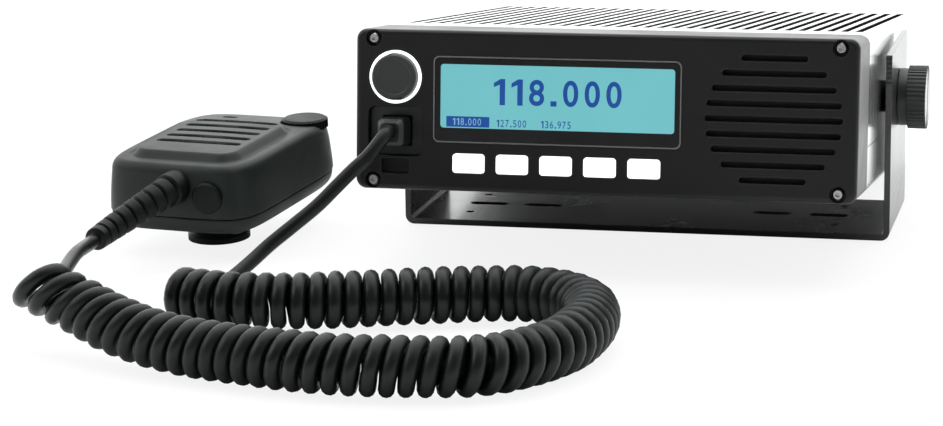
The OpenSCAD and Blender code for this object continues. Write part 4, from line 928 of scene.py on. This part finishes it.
class AIRBAND_OT_finishes(bpy.types.Operator):
    """Gives every frame node and every new piece its finish"""

    bl_idname = "airband.finishes"
    bl_label = "Apply finishes"

    def execute(self, context):
        cfg = context.scene.airband_finish
        show = context.scene.airband_display
        groups = shared_groups()
        coat, mic, rubber = tuple(cfg.coat), tuple(cfg.mic_plastic), tuple(cfg.rubber)
        white = (0.9, 0.93, 1.0)
        fine = 0.000004
        made = {
            "bracket_coat": dict(colour=coat, clean=0.25, smudged=0.275, grain=1400.0, depth=fine,
                                 wear=cfg.wear, coat=0.2, specular=0.5),
            "panel_coat": dict(colour=coat, clean=0.32, smudged=0.40, grain=2200.0, depth=fine,
                               wear=cfg.wear * 0.5, edge=0.0006, bare=(0.10, 0.10, 0.10), specular=0.2),
            "case_coat": dict(colour=coat, clean=0.21, smudged=0.235, grain=2200.0, depth=fine,
                              wear=cfg.wear * 0.6, edge=0.0004, bare=(0.10, 0.10, 0.10), coat=1.0,
                              specular=1.0),
            "bezel_metal": dict(colour=(0.18, 0.18, 0.18), metal=1.0, clean=0.3, smudged=0.42, grain=3000.0,
                                edge=0.0001, wear=0.2),
            "display_glass": dict(colour=(0.004, 0.004, 0.005), clean=0.05, smudged=0.11, grain=300.0,
                                  depth=0.000001, edge=0.0002, wear=0.0, coat=0.2),
            "backlight": dict(colour=tuple(show.backlight), clean=0.5, smudged=0.6, wear=0.0, edge=0.0001,
                              glow=tuple(show.backlight), glow_strength=0.4),
            "lit_ring": dict(colour=white, clean=0.4, smudged=0.5, wear=0.0, edge=0.0001,
                             glow=(0.92, 0.94, 1.0), glow_strength=1.35),
            "lit_key": dict(colour=(0.8, 0.8, 0.8), clean=0.35, smudged=0.5, wear=0.0, edge=0.0003,
                            glow=(1.0, 1.0, 0.98), glow_strength=1.25),
            "key_rubber": dict(colour=(0.55, 0.56, 0.58), clean=0.6, smudged=0.7, wear=0.0),
            "circuit_board": dict(colour=(0.015, 0.10, 0.045), clean=0.3, smudged=0.5, grain=600.0, wear=0.1,
                                  bare=(0.5, 0.35, 0.1)),
            "plated_steel": dict(colour=(0.52, 0.52, 0.53), metal=1.0, clean=0.25, smudged=0.45,
                                 grain=2500.0),
            "jack_plastic": dict(colour=rubber, clean=0.42, smudged=0.55, grain=1800.0, wear=0.2),
            "plug_rubber": dict(colour=rubber, clean=0.40, smudged=0.55, grain=1500.0, edge=0.0006,
                                wear=0.15),
            "speaker_cloth": dict(colour=(0.008, 0.008, 0.008), clean=0.8, smudged=0.9, grain=3000.0,
                                  depth=0.0002, wear=0.0),
            "black_steel": dict(colour=coat, clean=0.4, smudged=0.5, grain=1500.0),
            "speaker_paper": dict(colour=(0.03, 0.028, 0.026), clean=0.8, smudged=0.9, grain=1200.0,
                                  depth=0.0001, wear=0.0),
            "screw_steel": dict(colour=(0.42, 0.41, 0.40), metal=1.0, clean=0.22, smudged=0.40, grain=3500.0,
                                edge=0.00015, wear=0.4, bare=(0.75, 0.75, 0.74)),
            "nickel": dict(colour=(0.58, 0.56, 0.52), metal=1.0, clean=0.18, smudged=0.34, grain=2600.0,
                           edge=0.0002, wear=0.2, bare=(0.8, 0.79, 0.76)),
            "knob_black": dict(colour=(0.014, 0.016, 0.015), clean=0.42, smudged=0.55, grain=1900.0,
                               edge=0.0004, wear=0.2),
            "cap_grey": dict(colour=(0.40, 0.41, 0.42), clean=0.35, smudged=0.5, grain=2400.0, edge=0.0002,
                             wear=0.1),
            "mic_plastic": dict(colour=mic, clean=0.44, smudged=0.56, grain=1700.0, depth=0.00003,
                                edge=0.0004, wear=0.12, specular=0.22),
            "mic_rubber": dict(colour=rubber, clean=0.45, smudged=0.6, grain=1500.0, depth=0.00002,
                               edge=0.0003, wear=0.15, specular=0.16),
            "cord_rubber": dict(colour=rubber, clean=0.34, smudged=0.46, grain=900.0, depth=0.00001,
                                edge=0.0002, wear=0.0, specular=0.22),
            "window_glow": dict(colour=(0.02, 0.05, 0.055), clean=0.10, smudged=0.16, grain=300.0, wear=0.0,
                                edge=0.0001, glow=tuple(show.backlight), glow_strength=show.glow),
            "numeral_ink": dict(colour=(0.001, 0.01, 0.05), clean=0.12, smudged=0.2, wear=0.0, edge=0.00001,
                                glow=tuple(show.ink), glow_strength=0.9),
            "marker_ink": dict(colour=(0.02, 0.05, 0.06), clean=0.12, smudged=0.2, wear=0.0, edge=0.00001,
                               glow=(0.20, 0.42, 0.62), glow_strength=0.9),
        }
        made = {name: finish(groups, name, **spec) for name, spec in made.items()}
        for name, nodes in NODE_FINISH.items():
            for node in nodes:
                paint(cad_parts[node], made[name])
        for name, pieces in {
            "cord_rubber": ["lead_cord", "curly_cord"],
            "mic_plastic": ["mic_front_moulding", "mic_back_moulding"],
            "mic_rubber": ["ribbed_relief"],
            "window_glow": ["lit_window"],
            "numeral_ink": ["channel_marker", "main_numerals", "second_numerals", "third_numerals"],
            "marker_ink": ["marker_numerals"],
        }.items():
            for piece in pieces:
                paint(bpy.data.objects[piece], made[name])
        return {"FINISHED"}


class AIRBAND_PT_panel(bpy.types.Panel):
    """Sizes, colours and the operators that build each group of pieces"""

    bl_label = "Airband transceiver"
    bl_idname = "AIRBAND_PT_panel"
    bl_space_type = "VIEW_3D"
    bl_region_type = "UI"
    bl_category = "Airband"

    def draw(self, context):
        for operator, store, _ in STEPS:
            box = self.layout.box()
            box.operator(operator.bl_idname)
            settings = getattr(context.scene, store, None)
            if settings:
                for key in settings.__annotations__:
                    box.prop(settings, key)


# Each operator, the settings that it reads and their type, in the order they run
STEPS = [
    (AIRBAND_OT_stage, "airband_stage", AirbandStageSettings),
    (AIRBAND_OT_cords, "airband_cord", AirbandCordSettings),
    (AIRBAND_OT_microphone, "airband_mic", AirbandMicSettings),
    (AIRBAND_OT_display, "airband_display", AirbandDisplaySettings),
    (AIRBAND_OT_finishes, "airband_finish", AirbandFinishSettings),
]


def register():
    for operator, store, settings in STEPS:
        bpy.utils.register_class(settings)
        bpy.utils.register_class(operator)
        setattr(bpy.types.Scene, store, bpy.props.PointerProperty(type=settings))
    bpy.utils.register_class(AIRBAND_PT_panel)


def unregister():
    bpy.utils.unregister_class(AIRBAND_PT_panel)
    for operator, store, settings in reversed(STEPS):
        delattr(bpy.types.Scene, store)
        bpy.utils.unregister_class(operator)
        bpy.utils.unregister_class(settings)


def main():
    register()
    bpy.ops.airband.stage()
    bpy.ops.airband.cords()
    bpy.ops.airband.microphone()
    bpy.ops.airband.display()
    bpy.ops.airband.finishes()


if __name__ == "__main__":
    main()
